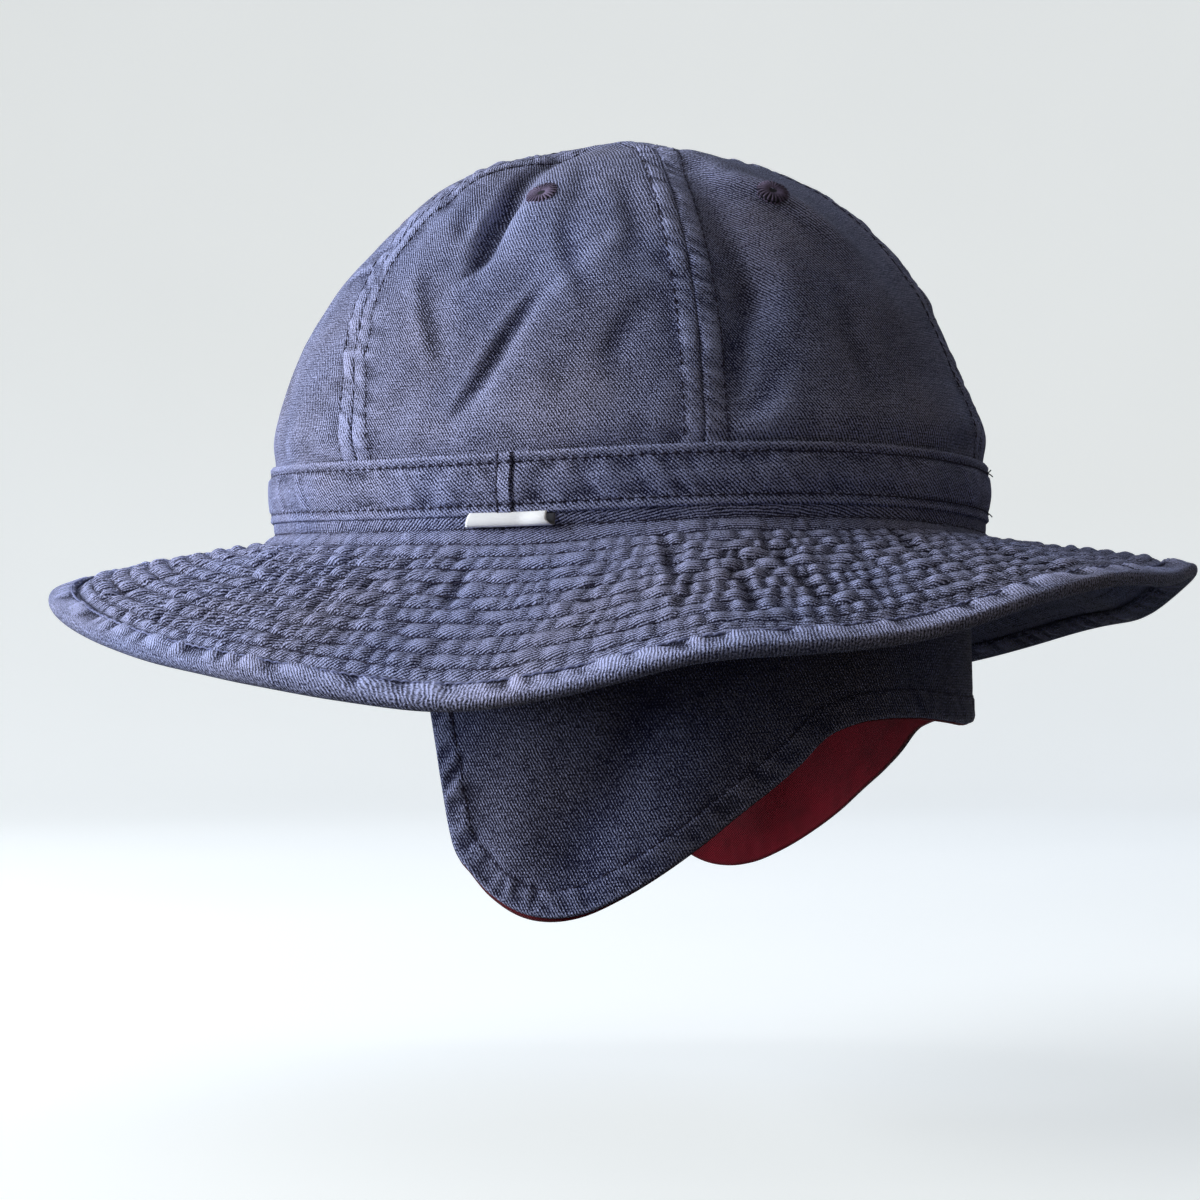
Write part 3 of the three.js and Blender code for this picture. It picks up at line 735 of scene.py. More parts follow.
def makePanel(panel):
    footRise = math.degrees((crown["foot"] - crown["centre"]) / foot["halfLength"])
    rises = np.concatenate([[footRise, -3, 0, 0.7, 1.2], np.linspace(1.6, 89.7, crown["rows"] - 4)])
    # Columns lie closer together beside the seams.
    edge = np.array([0, 0.3, 0.65, 1.1, 1.7]) / float(np.interp(5, riseTable, panelWidths[panel]))
    middle = np.linspace(edge[-1], 1 - edge[-1], crown["columns"] + 1 - 2 * (len(edge) - 1))
    shares = np.concatenate([edge[:-1], middle, 1 - edge[:-1][::-1]])
    share, rise = np.meshgrid(shares, rises, indexing="ij")
    base, normal, height, soft, along, width, pucker = panelSurface(panel, share, rise)
    outer = base + normal * height[..., None]
    inner = base + normal * (soft - crown["thickness"])[..., None]
    inner = inner[:: crown["innerStep"], :: crown["innerStep"]]
    uv = np.stack([(share - 0.5) * width, along], -1)
    wear = wearOf(height, False) + 0.35 * bell(rise - 7, 4) + lumps(base, (18, 0.25, 12))
    # Beside each seam the raised allowance gets a painted highlight, and the puckers' tops are rubbed pale
    # while their dips get painted shade.
    wear = wear + 0.4 * bell(np.minimum(share, 1 - share) * width - 2.8, 2.0) + seamLook["fade"] * pucker
    made = makeShell(f"crown_cloth_{panel + 1}", outer, inner, uv, wear, materials["crown"])
    place(made, "crown_twill", f"crown_panel_{panel + 1}")


def seamRows():
    lines = []
    for panel, fromEnd in itertools.product(range(crown["panels"]), (False, True)):
        rise = np.linspace(1.9, 79, 170)
        share = seamLook["allowance"] / np.interp(rise, riseTable, panelWidths[panel])
        rise, share = rise[share < 0.42], share[share < 0.42]
        base, normal, height, *_ = panelSurface(panel, 1 - share if fromEnd else share, rise)
        lines.append((base + normal * (height[:, None] + 0.08), normal, False))
    return lines


for panel in range(crown["panels"]):
    makePanel(panel)
makeStitches("crown_stitches", seamRows(), crown["stitch"], materials["seamThread"])
print("crown made")


# Eyelets
eyelet = {"radius": 4.3, "hole": 1.15, "strands": 23, "thickness": 0.6, "rise": 0.34, "overlap": 0.5,
          "lift": 0.12, "ringSteps": 72, "pitInset": 0.3, "pitLift": 0.14, "pitDip": 0.05, "pitSides": 16}
eyeletPlaces = [(51, 0), (53.5, 1.7), (48.5, -4.7), (48.5, 4.7), (53.5, -1.7), (51, 0)]


def makeEyelet(panel):
    rise, stray = eyeletPlaces[panel]
    low, high = panelEdges(panel, rise)
    share = 0.5 + stray / (high - low)
    base, normal, height, *_ = panelSurface(panel, np.array([share]), np.array([rise]))
    base, normal = base[0], normal[0]
    across = normalized(np.cross((0, 0, 1), normal))
    up = np.cross(normal, across)
    sides = ((1, height[0]), (-1, height[0] - crown["thickness"]))  # outside and inside

    def ring(radius, count, lift):
        turns = 2 * math.pi * np.arange(count)[:, None] / count
        return base + normal * lift + radius * (np.cos(turns) * across + np.sin(turns) * up)

    middle = (eyelet["radius"] + eyelet["hole"]) / 2
    look = {
        "pitch": 2 * math.pi * middle / eyelet["strands"],
        "length": eyelet["radius"] - eyelet["hole"] + eyelet["overlap"],
        "thickness": eyelet["thickness"], "rise": eyelet["rise"], "turn": 90, "uneven": 0.07,
        "steps": 5, "seed": panel,
    }
    steps, lines = eyelet["ringSteps"], []
    for side, at in sides:
        lines.append((ring(middle, steps, at + side * eyelet["lift"]),
            np.tile(side * normal, (steps, 1)), True))
    made = makeStitches(f"eyelet_thread_{panel + 1}", lines, look, materials["eyeletThread"])
    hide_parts(f"eyelet_{panel + 1}")
    # The dark hole under the threads is painted shade: a flat, near-black plug whose faces dip a little in
    # the middle.
    count, points = eyelet["pitSides"], []
    for side, at in sides:
        points += [*ring(eyelet["radius"] - eyelet["pitInset"], count, at + side * eyelet["pitLift"])]
        points += [*ring(0, 1, at + side * (eyelet["pitLift"] - eyelet["pitDip"]))]
    faces, other = [], count + 1
    for i in range(count):
        j = (i + 1) % count
        faces += [(i, j, count), (other + j, other + i, other + count), (j, i, other + i, other + j)]
    pit = newObject(f"eyelet_pit_painted_shade_{panel + 1}", newMesh("pit", points, faces), materials["eyeletPitShade"])
    place(pit, "eyelet_thread")


for panel in range(crown["panels"]):
    makeEyelet(panel)
print("eyelets made")


# Band
band = {
    "columns": 900, "low": -1.5, "high": 14.7, "inner": 0.35, "rows": 30, "rowLow": 1.1, "rowHigh": 12.1,
    "section": [(-1.5, 1.5), (1.4, 1.4), (6.5, 2.1), (11.8, 1.4), (14.7, 1.5)],
    "jointFrom": 87.3, "joint": 89.6, "proud": 0.55, "drag": 1.0, "rowDepth": 0.42, "edge": 0.6,
    "edgeRound": 0.55, "sink": 0.35, "stitchLine": -2.0,
    "stitch": {"length": 2.15, "rise": 0.2, "uneven": 0.04},
}
bandStitches = int(round(footLength / 2.9))
perDegree = 1.48  # millimetres round the foot, at the joint


def bandOut(angle, height):
    run, low, high = runOf(angle), band["rowLow"], band["rowHigh"]
    tug = 0.6 + 0.4 * np.cos(2 * math.pi * run * bandStitches / footLength)
    out = readTable(band["section"], height)
    out = out - band["rowDepth"] * (bell(height - low, 0.6) + bell(height - high, 0.6)) * tug
    between = window(height, low, low + 1.5, high - 1.5, high)
    drags = 0.6 * footWander(run, 6.0, 32, 0.10 * (height - 6.5) * footWander(run, 30, 31))
    drags = drags + 0.3 * footWander(run, 2.9, 33, 0.2 * height)
    out = out + band["drag"] * drags * between * (0.45 + 0.55 * np.abs(height - 6.6) / 5.5)
    edges = smoothstep(height, high, 14) + falling(height, -1, low)
    out = out + 0.35 * footWander(run, 24, 34) * between + 0.12 * footWander(run, 4.2, 35) * edges
    # The joint: the lapping end stands proud, with a line of stitches, and the cloth sinks behind it.
    angle = angle % 360
    past = (angle - band["joint"]) * perDegree
    stitch = band["sink"] * bell(past - band["stitchLine"] * perDegree, 0.35)
    sink = band["sink"] * bell(past - 0.25 * perDegree, 0.5) * (past >= 0)
    return out + band["proud"] * ((angle >= band["jointFrom"]) & (past < 0)) - sink - stitch


def makeBand():
    joint, low, high = band["joint"], band["low"], band["high"]
    angles = np.linspace(joint + 0.02, joint + 359.98, band["columns"])
    extra = [360 + band["jointFrom"] - 0.12, 360 + band["jointFrom"] + 0.02, joint + 0.25]
    extra += [360 + joint - back for back in (2.0, 1.7, 2.3, 0.4, 0.15)]
    angles = np.sort(np.concatenate([angles, extra]))
    angles = angles[: len(angles) // 4 * 4]
    angle, height = np.meshgrid(angles, np.linspace(low, high, band["rows"] + 1), indexing="ij")
    out = bandOut(angle, height)
    fromEnd = np.clip(np.minimum(height - low, high - height) / band["edge"], 0, 1)
    out = out - band["edgeRound"] * (1 - np.sqrt(1 - (1 - fromEnd) ** 2))
    inner = footPoint(angle, band["inner"], height)[::4, ::5]
    uv = np.stack([runOf(angle), height], -1)
    wear = wearOf(out, True, 0.14, 0.5) + 0.8 * smoothstep(height, 13.2, 14.5)
    wear = wear + 0.3 * falling(height, -1.4, -0.6)
    made = makeShell("band_cloth", footPoint(angle, out, height), inner, uv, wear,
        materials["band"], isRing=True,
                     wrap=footLength)
    place(made, "band_twill", "hat_band")
    ring = np.linspace(0, 360, 721)[:-1]
    column = np.linspace(low + 0.6, high - 0.6, 24)
    rows = [(ring, band["rowLow"], 0.08, True), (ring, band["rowHigh"], 0.08, True),
        (joint + band["stitchLine"], column, 0.1, False)]
    lines = []
    for angle, height, lift, closed in rows:
        angle, height = np.broadcast_arrays(angle, height)
        lines.append((footPoint(angle, bandOut(angle, height) + lift, height), footOut(angle), closed))
    top = lines[1][0]
    pitch = np.linalg.norm(top - np.roll(top, 1, 0), axis=1).sum() / (bandStitches + 0.01)
    makeStitches("band_stitches", lines, dict(band["stitch"], pitch=pitch), materials["seamThread"])


# A loose thread end: a thin tube that curls away from the band.
def makeThreadEnd(name, angle, height, curl):
    steps, sides, radius = 9, 6, 0.17
    share = np.linspace(0, 1, steps)
    out = float(bandOut(angle, height)) - 0.3 + curl[1] * share
    line = footPoint(angle + curl[0] * share**1.5, out, height + curl[2] * share**2)
    ahead = normalized(np.gradient(line, axis=0))
    across = normalized(np.cross(ahead, (0, 0, 1)))
    up = np.cross(ahead, across)
    s, c = sinCos(360 * np.arange(sides)[:, None] / sides)
    points = (line[:, None] + radius * (c * across[:, None] + s * up[:, None])).reshape(-1, 3)
    at = np.arange(steps * sides).reshape(steps, sides)
    faces = quads(np.append(at, at[:, :1], 1).T) + [at[0, ::-1].tolist(), at[-1].tolist()]
    place(newObject(name, newMesh(name, points, faces), materials["seamThread"]), "eyelet_thread")


makeBand()
makeThreadEnd("thread_end_1", 184.0, band["rowHigh"], (0.7, 2.0, -1.1))
makeThreadEnd("thread_end_2", 185.5, band["rowHigh"], (-0.6, 1.6, 0.9))
makeThreadEnd("thread_end_3", 184.5, band["rowLow"], (0.6, 1.9, -1.3))
print("band made")


# Brim
brim = {
    "top": 0.7, "stripFoot": -4, "corner": -8, "turn": 7, "slant": 68.5, "frontLess": 3.2, "backLess": 9.4,
    "drop": 25, "dropSides": 16.4, "arch": 1.6, "waveSpread": 9,
    "waves": [(66, 0.9), (91, -2.2), (115, 3.5), (137, -2.5), (171, -3.1), (208, -3.8)],
    "foot": 1.2, "middle": 2.0, "binding": 8.5, "grain": 28,
    "columns": 800, "rows": 96, "rings": 11, "firstRow": 5.6, "puff": 1.75, "under": 0.4,
    "stitch": {"pitch": 2.7, "length": 2.3, "thickness": 0.45, "rise": 0.14, "steps": 3, "sides": 4},
}
# How strongly the rows are puckered, and how long the puffs are, round the brim.
puckerStrength = [(0, 1.0), (30, 1.25), (60, 1.2), (78, 0.8), (90, 0.5), (104, 0.55), (118, 0.9), (140, 0.85),
    (165, 0.62), (200, 0.65), (240, 1.0), (270, 0.7), (310, 0.95), (360, 0.9)]
puffLengths = [(0, 4.6), (30, 4.0), (72, 4.3), (92, 5.2), (118, 5.0), (170, 5.4), (205, 5.2), (245, 4.4),
    (285, 5.2), (325, 6.2), (360, 4.6)]
# The puffs between rows: their least and most, how wide the dip beside each is, and, for the first rows, how
# full and how deeply cut they are.
puffs = {
    "stray": (-0.36, 0.36), "depth": (0.35, 1.0), "swell": (0.6, 1.15), "bend": (-0.1, 0.75), "dip": 1.4,
    "byRow": [(0.3, 0.3), (0.6, 0.35), (0.85, 0.75), (1.0, 1.1)],
}
# Creases that cross several rows, with the least and most of each size.
brimCreases = {"count": 46, "start": (8, 40), "reach": (10, 28), "lean": (-3, 5),
    "depth": (0.6, 1.25), "width": 1.7}


def turnedLeft(vectors):
    return np.stack([-vectors[..., 1], vectors[..., 0]], -1)


# Sections through the brim, as (out, up) points and the run along them.
def brimSections(angles):
    c = np.cos(np.radians(angles))
    slant = brim["slant"] - np.where(c > 0, brim["frontLess"], brim["backLess"]) * c * c
    lift = sum(up * bell(angles % 360 - at, brim["waveSpread"]) for at, up in brim["waves"])
    drop = brim["drop"] - brim["dropSides"] * np.cos(np.radians(2 * angles)) - lift
    edge = np.stack([np.sqrt(slant**2 - drop**2), brim["corner"] - drop - footWave(angles)], -1)[:, None]
    top, stripFoot, corner = [np.array([-brim["foot"] / 2, brim[key]]) + 0 * edge
        for key in ("top", "stripFoot", "corner")]
    slope = normalized(edge - corner)
    turned = corner + slope * brim["turn"]
    arch = (turned + edge) / 2 + turnedLeft(slope) * brim["arch"]
    t = np.linspace(0, 1, 41)[:, None]

    def curve(start, bend, end):
        return (start * (1 - t) ** 2 + 2 * bend * t * (1 - t) + end * t**2)[:, 1:]

    path = np.concatenate([top * (1 - t) + stripFoot * t, curve(stripFoot, corner, turned),
        curve(turned, arch, edge)], 1)
    return path, np.pad(np.cumsum(np.linalg.norm(np.diff(path, axis=1), axis=-1), 1), ((0, 0), (1, 0)))


brimAngles = np.linspace(0, 360, brim["columns"], endpoint=False)
brimTurns = brimAngles[:, None] / 360
brimPaths, brimRuns = brimSections(brimAngles)
brimLength = brimRuns[:, -1:]


# Points so far from the seam along each section, and so far above its middle.
def brimPoint(fromSeam, above):
    spot, tangent = np.empty(fromSeam.shape + (2,)), np.empty(fromSeam.shape + (2,))
    for i, (path, run) in enumerate(zip(brimPaths, brimRuns)):
        inside = np.minimum(fromSeam[i], run[-1])
        low, high = np.maximum(inside - 0.5, 0), np.minimum(inside + 0.5, run[-1])
        for axis in (0, 1):
            spot[i, :, axis] = np.interp(inside, run, path[:, axis])
            rise = np.interp(high, run, path[:, axis]) - np.interp(low, run, path[:, axis])
            tangent[i, :, axis] = rise / (high - low)
    tangent = normalized(tangent)
    spot = spot + tangent * np.maximum(fromSeam - brimLength, 0)[..., None]
    spot = spot + turnedLeft(tangent) * above[..., None]
    return footPoint(brimAngles[:, None], spot[..., 0], spot[..., 1])


# Half the brim's thickness, which thins towards the seam and under the binding.
def brimHalf(fromSeam):
    thinFoot = falling(fromSeam, 4, 14)
    thinEdge = falling(brimLength - fromSeam, brim["binding"], brim["binding"] + 4)
    return (brim["middle"] - (brim["middle"] - brim["foot"]) * np.maximum(thinFoot, thinEdge)) / 2


# Where the stitched rings run: distances from the seam, one column for each ring and one at each end.
def ringDistances():
    last = brimLength - brim["binding"] + 0.6
    rings = [0 * brimTurns]
    for k in range(brim["rings"]):
        share = k / (brim["rings"] - 0.15)
        stray = 0.48 * wander(brimTurns * 150, 300 + k, 150) + 0.35 * wander(brimTurns * 37, 340 + k, 37)
        rings.append(brim["firstRow"] + (last - brim["firstRow"]) * share + stray * (1 if k else 0.4))
    return np.concatenate([*rings, last], 1)


# Cells of uneven length along a row: which cell a place is in, how far through it (0 to 1), and its length.
def unevenCells(along, strays):
    count = len(strays)
    cell = np.floor(along).astype(int)
    cell = np.where(along < cell + strays[cell % count], cell - 1, cell)
    cell = np.where(along >= cell + 1 + strays[(cell + 1) % count], cell + 1, cell)
    start, end = [at + strays[at % count] for at in (cell, cell + 1)]
    return cell, (along - start) / (end - start), end - start


def brimPuffs(fromSeam):
    strength = readTable(puckerStrength, brimAngles)[:, None]
    # How many puffs have gone by at each angle.
    puffAngles = np.linspace(0, 360, 721)
    puffCount = np.concatenate([[0], np.cumsum(1 / readTable(puffLengths, puffAngles[:-1] + 0.25))])
    passed = np.interp(brimAngles, puffAngles, puffCount)[:, None] / puffCount[-1]
    height = np.zeros(fromSeam.shape)
    random = np.random.RandomState(77)
    for k in range(brimRings.shape[1] - 1):
        low, high = brimRings[:, k, None], brimRings[:, k + 1, None]
        v = (fromSeam - low) / (high - low)
        around = 2 * math.pi * ((foot["halfLength"] + foot["halfWidth"]) / 2 + float(low.mean()) * 0.93)
        cells = int(round(around / (720 / puffCount[-1])))
        strays, depths, swells = [random.uniform(*puffs[key], cells) for key in ("stray", "depth", "swell")]
        bend = random.uniform(*puffs["bend"]) * (v - 0.5) * 0.5
        along = passed * cells + 0.35 * wander(brimTurns * 83, 400 + k, 83) + bend
        cell, u, long = unevenCells(along, strays)
        size = long * readTable(puffLengths, brimAngles)[:, None]
        before = depths[cell % cells] * bell(u * size, puffs["dip"])
        after = depths[(cell + 1) % cells] * bell((1 - u) * size, puffs["dip"])
        dip = np.maximum(before, after)
        pillow = np.clip(1 - np.abs(2 * v - 1) ** 2.0, 0, 1) ** 0.7
        share, cut = puffs["byRow"][min(k, 3)]
        full = brim["puff"] * share * pillow * (0.3 + 0.7 * strength)
        puff = full * (swells[cell % cells] - cut * dip * strength**0.7)
        height = np.where((v >= 0) & (v < 1), puff, height)
    return height


def crossCreases(fromSeam):
    random = np.random.RandomState(91)
    depths = np.zeros(fromSeam.shape)
    for _ in range(brimCreases["count"]):
        at = random.uniform(0, 360)
        start, reach, lean, depth = [random.uniform(*brimCreases[key])
            for key in ("start", "reach", "lean", "depth")]
        run = ((brimAngles[:, None] - at + 180) % 360 - 180) * 2.0 + lean * (fromSeam - start) / 20
        ends = window(fromSeam, start - 2, start + 2, start + reach - 3, start + reach + 2)
        depths += depth * bell(run, brimCreases["width"]) * ends
    return depths


def makeBrim():
    fromSeam = 0.6 + (brimLength - 5.0 - 0.6) * np.linspace(0, 1, brim["rows"] + 1)
    half, puffed, creases = brimHalf(fromSeam), brimPuffs(fromSeam), crossCreases(fromSeam)
    bound = brimLength - brim["binding"]
    fade = falling(fromSeam, bound - 4.4, bound - 0.5)
    broad = lumps(brimPoint(fromSeam, half), (30, 0.35, 61), (9, 0.2, 62))
    outer = brimPoint(fromSeam, half + (puffed - creases + broad) * fade)
    under = brimPoint(fromSeam, -half - (brim["under"] * puffed - 0.3 * creases) * fade)[::2, ::2]
    # A flat pattern of the brim: the cloth's grain keeps one direction all round.
    s, c = sinCos(brimAngles[:, None])
    x, y = s * (foot["halfWidth"] + 0.97 * fromSeam), -c * (foot["halfLength"] + 0.97 * fromSeam)
    s, c = sinCos(brim["grain"])
    uv = np.stack([y * c - x * s, x * c + y * s], -1)
    # The puffs' tops are rubbed pale, and the grooves and creases between them are painted dark as shade.
    grids = [grid[:, ::-1] for grid in (outer, under, uv, wearOf(puffed - 0.8 * creases, True, 0.3, 0.7))]
    made = place(makeShell("brim_cloth", *grids, materials["brim"], isRing=True), "brim_twill", "brim")
    rings = brimRings[:, 1:-1]
    half = brimHalf(rings)
    up = brimPoint(rings, half + lumps(brimPoint(rings, half), (30, 0.35, 61)) + 0.2)
    down = brimPoint(rings, -half - 0.05)
    facing = normalized(up - down)
    for name, points, side, seed in (("brim_stitches", up, 1, 2), ("brim_stitches_under", down, -1, 3)):
        lines = [(points[:, k], side * facing[:, k], True) for k in range(rings.shape[1])]
        makeStitches(name, lines, dict(brim["stitch"], seed=seed), materials["seamThread"])


brimRings = ringDistances()
makeBrim()
print("brim made")


# Binding
binding = {
    "width": 8.5, "inside": 0.9, "outside": 1.85, "ripple": 0.75, "rowFromEdge": 1.3, "nose": 1.3,
    "flatSteps": 10, "noseSteps": 9, "innerReach": [8.5, 2.2, 1.1, 2.2, 8.5],
    "innerSide": [-1, -1, 0, 1, 1], "rowPick": [0, 6, 13, 20, 26],
    "bulge": 0.12, "edgeGroove": 0.5, "rowDepth": 0.38, "skew": 0.9,
    "stitch": {"pitch": 2.8, "length": 2.75, "thickness": 0.6, "rise": 0.28, "uneven": 0.04},
}


def makeBinding():
    width, outside = binding["width"], binding["outside"]
    # Round the edge: along the underside, round the nose, and back along the top.
    flat = np.linspace(width, binding["nose"], binding["flatSteps"])
    s, c = sinCos(np.linspace(-90, 90, binding["noseSteps"])[1:-1])
    fromEdge = np.concatenate([flat, binding["nose"] * (1 - c), flat[::-1]])
    above = outside * np.concatenate([0 * flat - 1, s, 0 * flat + 1])
    side = np.where(above < 0, -1, 1)
    fromRow = width - fromEdge
    bulge = binding["bulge"] * np.sin(np.pi * np.clip(fromRow / width, 0, 1)) ** 0.7
    fold = -binding["edgeGroove"] * np.exp(-fromRow / 0.5)
    fold = fold - binding["rowDepth"] * bell(fromRow - binding["rowFromEdge"], 0.45)
    ripple = 0.5 * wander(brimTurns * 138 + 0.13 * fromEdge * side, 500, 138)
    ripple = ripple + wander(brimTurns * 300 + 0.09 * fromEdge * side, 501, 300)
    gathered = window(fromEdge, 0.8, 6, width - 0.9, width)
    relief = bulge + fold + binding["ripple"] * ripple * gathered + 0.10 * wander(brimTurns * 64, 502, 64)
    outer = brimPoint(brimLength - fromEdge, above + relief * side)
    inner = brimPoint(brimLength - binding["innerReach"], binding["inside"] * np.array(binding["innerSide"]))
    around = runAlong(np.stack([fromEdge, above], -1))
    edge = outer[:, len(fromEdge) // 2]
    edgeRun = runAlong(np.append(edge, edge[:1], 0))
    # The cloth is cut askew where the edge turns forward.
    skew = binding["skew"] * falling(np.abs((brimAngles[:, None] + 130) % 360 - 180), 25, 45)
    uv = np.stack(np.broadcast_arrays(edgeRun[:-1, None] + skew * around, around), -1)
    wear = wearOf(relief, True, 0.2, 0.5) + 0.35 * bell(fromEdge - 3.2, 3.0) * (above > 0)
    made = makeShell("binding_cloth", outer, inner, uv, wear, materials["binding"],
        isRing=True, wrap=edgeRun[-1],
                     rowPick=binding["rowPick"], innerWearAndShade=1.0)
    place(made, "binding_twill", "brim_binding")
    at = brimLength - (width - binding["rowFromEdge"])
    middle, lines = brimPoint(at, 0 * at)[:, 0], []
    for side in (1, -1):
        points = brimPoint(at, 0 * at + side * (outside - 0.02))[:, 0]
        lines.append((points, normalized(points - middle), True))
    makeStitches("binding_stitches", lines, binding["stitch"], materials["edgeThread"])


makeBinding()
print("binding made")


# Flap
flap = {
    "edge": [(73.5, -50), (75.5, -67), (78, -87), (81, -94), (84.5, -100), (89, -104.5), (94, -106.2),
        (99, -105.3), (104, -102), (110, -96.5), (117, -88.7), (123, -81.2), (128, -75.3), (133, -69),
        (138, -62.2), (142, -59.4), (147, -57.6), (158, -56.8), (169, -57.3), (180, -58)],
    "top": 12, "out": -1.9, "cloth": 1.0, "hangFrom": -8, "hangTo": -34, "inset": 2, "peek": 1.3, "rows": 108,
    "liningRows": 42, "gap": 0.3, "hem": 7.4, "hemRaise": 0.35, "rowDepth": 0.4,
    "stitch": {"pitch": 2.9, "length": 2.4, "rise": 0.15},
}
# Soft folds down each side flap: where they start and end (angle, height), how wide and how deep.
flapFolds = [((109, -52), (98, -90), 7, 2.0), ((92, -60), (88, -88), 7, -1.0),
    ((122, -55), (112, -84), 9, -1.2), ((140, -20), (136, -55), 9, 1.2)]


def leftSide(angle):
    return np.where(angle > 180, 360 - angle, angle)


def flapBottom(angle):
    return readTable(flap["edge"], leftSide(angle))


flapOutline = np.concatenate([[73.5], np.linspace(73.5, 286.5, 861), [286.5]])
outlinePoints = np.stack([runOf(flapOutline), flapBottom(flapOutline)], -1)
outlinePoints[[0, -1], 1] = flap["top"]
outlineRun = runAlong(outlinePoints)


# Distance from the flap's edge, and the length along the edge to the nearest point of it.
def fromFlapEdge(run, height):
    best, along = np.full(run.shape, 1e9), 0
    for i, line in enumerate(np.diff(outlinePoints, axis=0)):
        share, distance, _ = nearestOnLine(outlinePoints[i, 0] - run, outlinePoints[i, 1] - height, *line)
        closer = distance < best
        best = np.where(closer, distance, best)
        along = np.where(closer, outlineRun[i] + share * (outlineRun[i + 1] - outlineRun[i]), along)
    return best, along


def flapFold(angle, height):
    total, perDegree = 0, 1.5
    for start, end, width, depth in flapFolds:
        line = (end[0] - start[0]) * perDegree, end[1] - start[1]
        _, distance, _ = nearestOnLine((start[0] - leftSide(angle)) * perDegree, start[1] - height, *line)
        total = total - depth * bell(distance, width)
    return total


def flapRelief(angle, height, distance, along):
    base, hem = footPoint(angle, 0, height), flap["hem"]
    soft = flapFold(angle, height) + smoothstep(-height, 12, 50) * lumps(base, (34, 0.9, 71), (13, 0.35, 72))
    soft = soft + lumps(base, (4, 0.07, 73))
    raised = flap["hemRaise"] * falling(distance, hem - 0.2, hem + 0.9)
    raised = raised - flap["rowDepth"] * bell(distance - hem, 0.5)
    ropes = 0.3 + 0.6 * falling(np.minimum(along, outlineRun[-1] - along), 95, 150)
    within = window(distance, 0.4, 2, hem - 1, hem + 2.5)
    pucker = ropes * within * (wander(along / 3.6 + 0.22 * distance, 81) + 0.5 * wander(along / 2.3, 82))
    roll = -0.75 * (1 - np.sqrt(1 - (1 - np.clip(distance, 0, 1)) ** 2))
    return soft + raised + pucker + roll, soft


def flapInset(height):
    return flap["inset"] * falling(height, flap["hangTo"], flap["hangFrom"])


def flapPiece(name, node, slot, out, lower, rows, detail, material):
    left = np.concatenate([np.arange(73.5, 78, 0.22), np.arange(78, 100, 0.36), np.arange(100, 180, 0.6)])
    left = left[: (len(left) // 3) * 3]
    angles = np.concatenate([left, [180], 360 - left[::-1]])[:, None]
    # The lining shows most below the front tips.
    lower = lower * (0.3 + 0.7 * (bell(angles - 87, 12) + bell(angles - 273, 12)))
    bottom = flapBottom(angles) - lower
    height = bottom + (flap["top"] - bottom) * (np.arange(rows + 1) / rows) ** 1.2
    angle = np.broadcast_to(angles, height.shape)
    distance, along = fromFlapEdge(runOf(angle), height + lower)
    relief, soft = flapRelief(angle, height, distance, along)
    outRelief, inRelief, step = relief, soft, 3
    if not detail:
        rough = lumps(footPoint(angle, 0, height), (9, 0.4, 75))
        outRelief, inRelief, step = soft, soft + 0.4 * (relief - soft) + rough, 1
    out = out - flapInset(height)
    outer = footPoint(angle, out + outRelief, height)
    inner = footPoint(angle, out - flap["cloth"] + inRelief, height)
    uv = np.stack([runOf(angle), height], -1)
    wear = wearOf(relief, False) + 0.45 * bell(distance, 1.0) * detail
    made = place(makeShell(name, outer, inner[::step, ::step], uv, wear, material), slot, node)


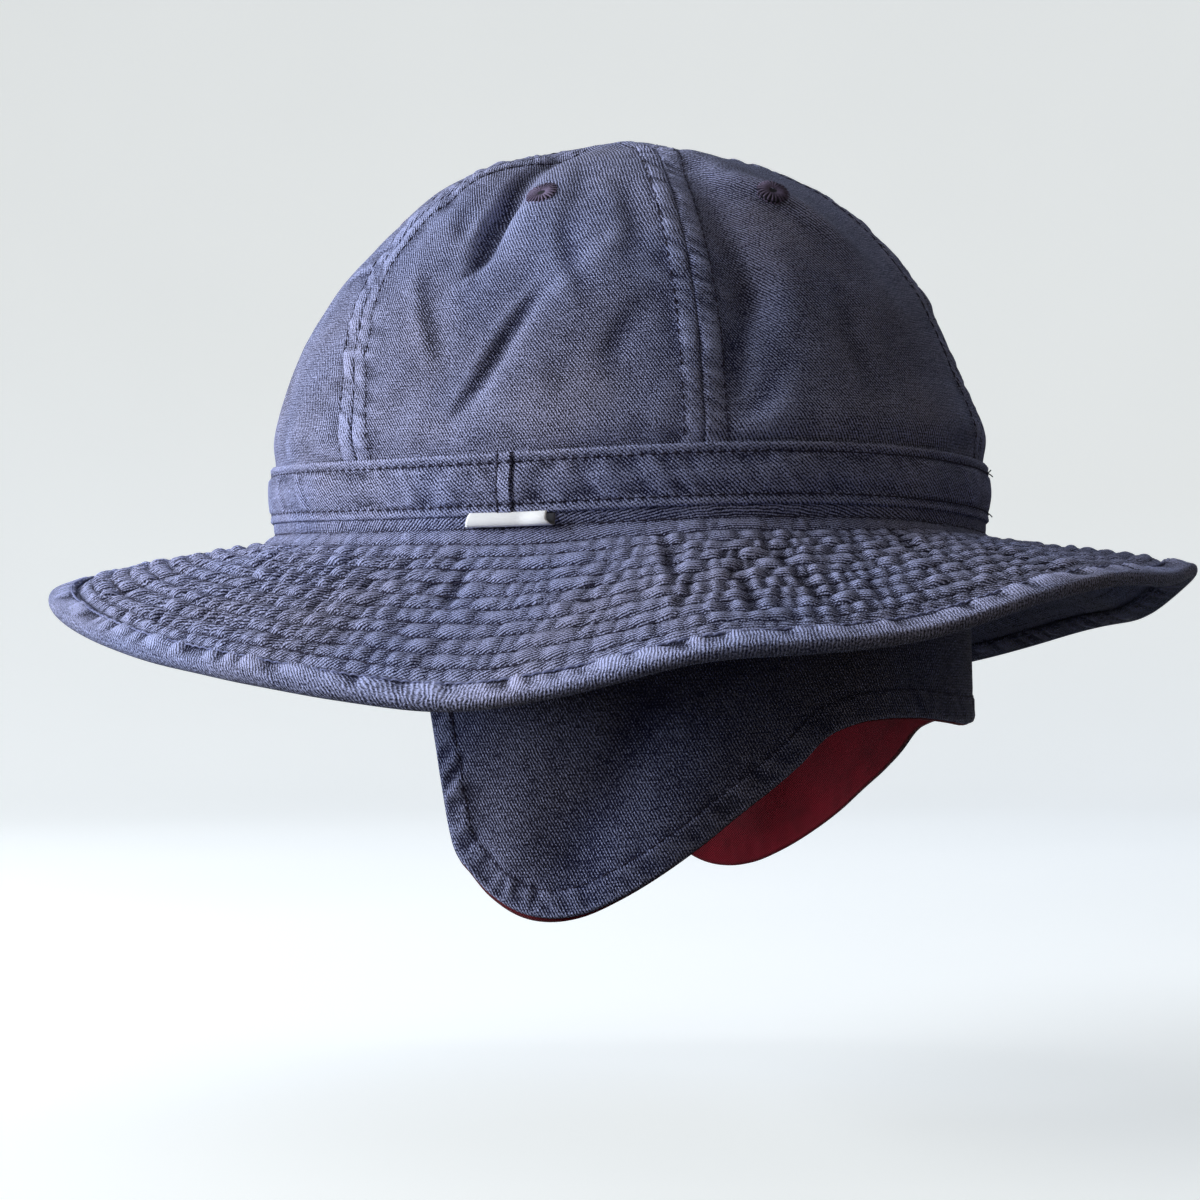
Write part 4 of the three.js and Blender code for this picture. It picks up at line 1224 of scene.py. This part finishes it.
# The stitched line lies one hem's width inside the outline.
def makeFlapStitches():
    line = outlinePoints + turnedLeft(normalized(np.gradient(outlinePoints, axis=0))) * flap["hem"]
    distance, along = fromFlapEdge(line[:, 0], line[:, 1])
    keep = (distance > flap["hem"] - 0.15) & (line[:, 1] < -6)
    (run, height), distance, along = line[keep].T, distance[keep], along[keep]
    angle = np.interp(run, ringRun, ringAngles)
    relief, _ = flapRelief(angle, height, distance, along)
    points = footPoint(angle, flap["out"] - flapInset(height) + relief + 0.08, height)
    makeStitches("flap_stitches", [(points, footOut(angle), False)], flap["stitch"], materials["seamThread"])


flapPiece("flap_cloth", "flap_shell", "flap_twill", flap["out"], 0, flap["rows"], True, materials["flap"])
flapPiece("lining_cloth", "flap_lining", "flap_lining",
    flap["out"] - flap["cloth"] - flap["gap"], flap["peek"],
          flap["liningRows"], False, materials["lining"])
makeFlapStitches()
print("flap made")


# Label
label = {
    "path": [(0.5, -1.9), (0.7, -4.2), (1.5, -5.4), (2.7, -5.3), (3.0, -4.2), (2.5, -2.8), (1.7, -1.9)],
    "angle": 89.4, "halfAngle": 6.6, "half": 0.13, "columns": 36, "rows": 28, "raise": 0.9,
    "tilt": -0.2, "slant": 0.4,
    "open": 1.8, "short": 0.7,
}


def makeLabel():
    path = np.array(label["path"])
    run = runAlong(path)
    at = np.linspace(0, run[-1], label["rows"] + 1)
    out, height = [readTable(list(zip(run, path[:, axis])), at) for axis in (0, 1)]
    face = -turnedLeft(normalized(np.gradient(np.stack([out, height], -1), axis=0)))
    share = np.linspace(-1, 1, label["columns"] + 1)[:, None]
    # The fold stands open at its rear end.
    out = out + label["open"] * smoothstep(share, 0.2, 1) * smoothstep(at, 0.35 * run[-1], 0.6 * run[-1])
    angle = label["angle"] + label["halfAngle"] * share
    # The front end is cut on a slant.
    angle = angle + label["slant"] * (height + 5.4) / 3.5 * (1 - share) / 2
    # Its outer layer stops short at the rear, and shows the inside of the fold.
    angle = angle - label["short"] * smoothstep(share, 0, 1) * smoothstep(at, 0.5 * run[-1], 0.75 * run[-1])
    tilt = label["raise"] + label["tilt"] * share
    outer, inner = [footPoint(angle, out + face[:, 0] * half, height + face[:, 1] * half + tilt)
                    for half in (label["half"], -label["half"])]
    uv = np.stack(np.broadcast_arrays(runOf(angle), at), -1)
    # The outer face is pale, and the inner face, inside the fold, is painted dark as shade.
    made = makeShell("label_cloth", outer, inner, uv, np.ones(angle.shape), materials["label"])
    place(made, "label_weave", "side_label")


makeLabel()
print("label made")
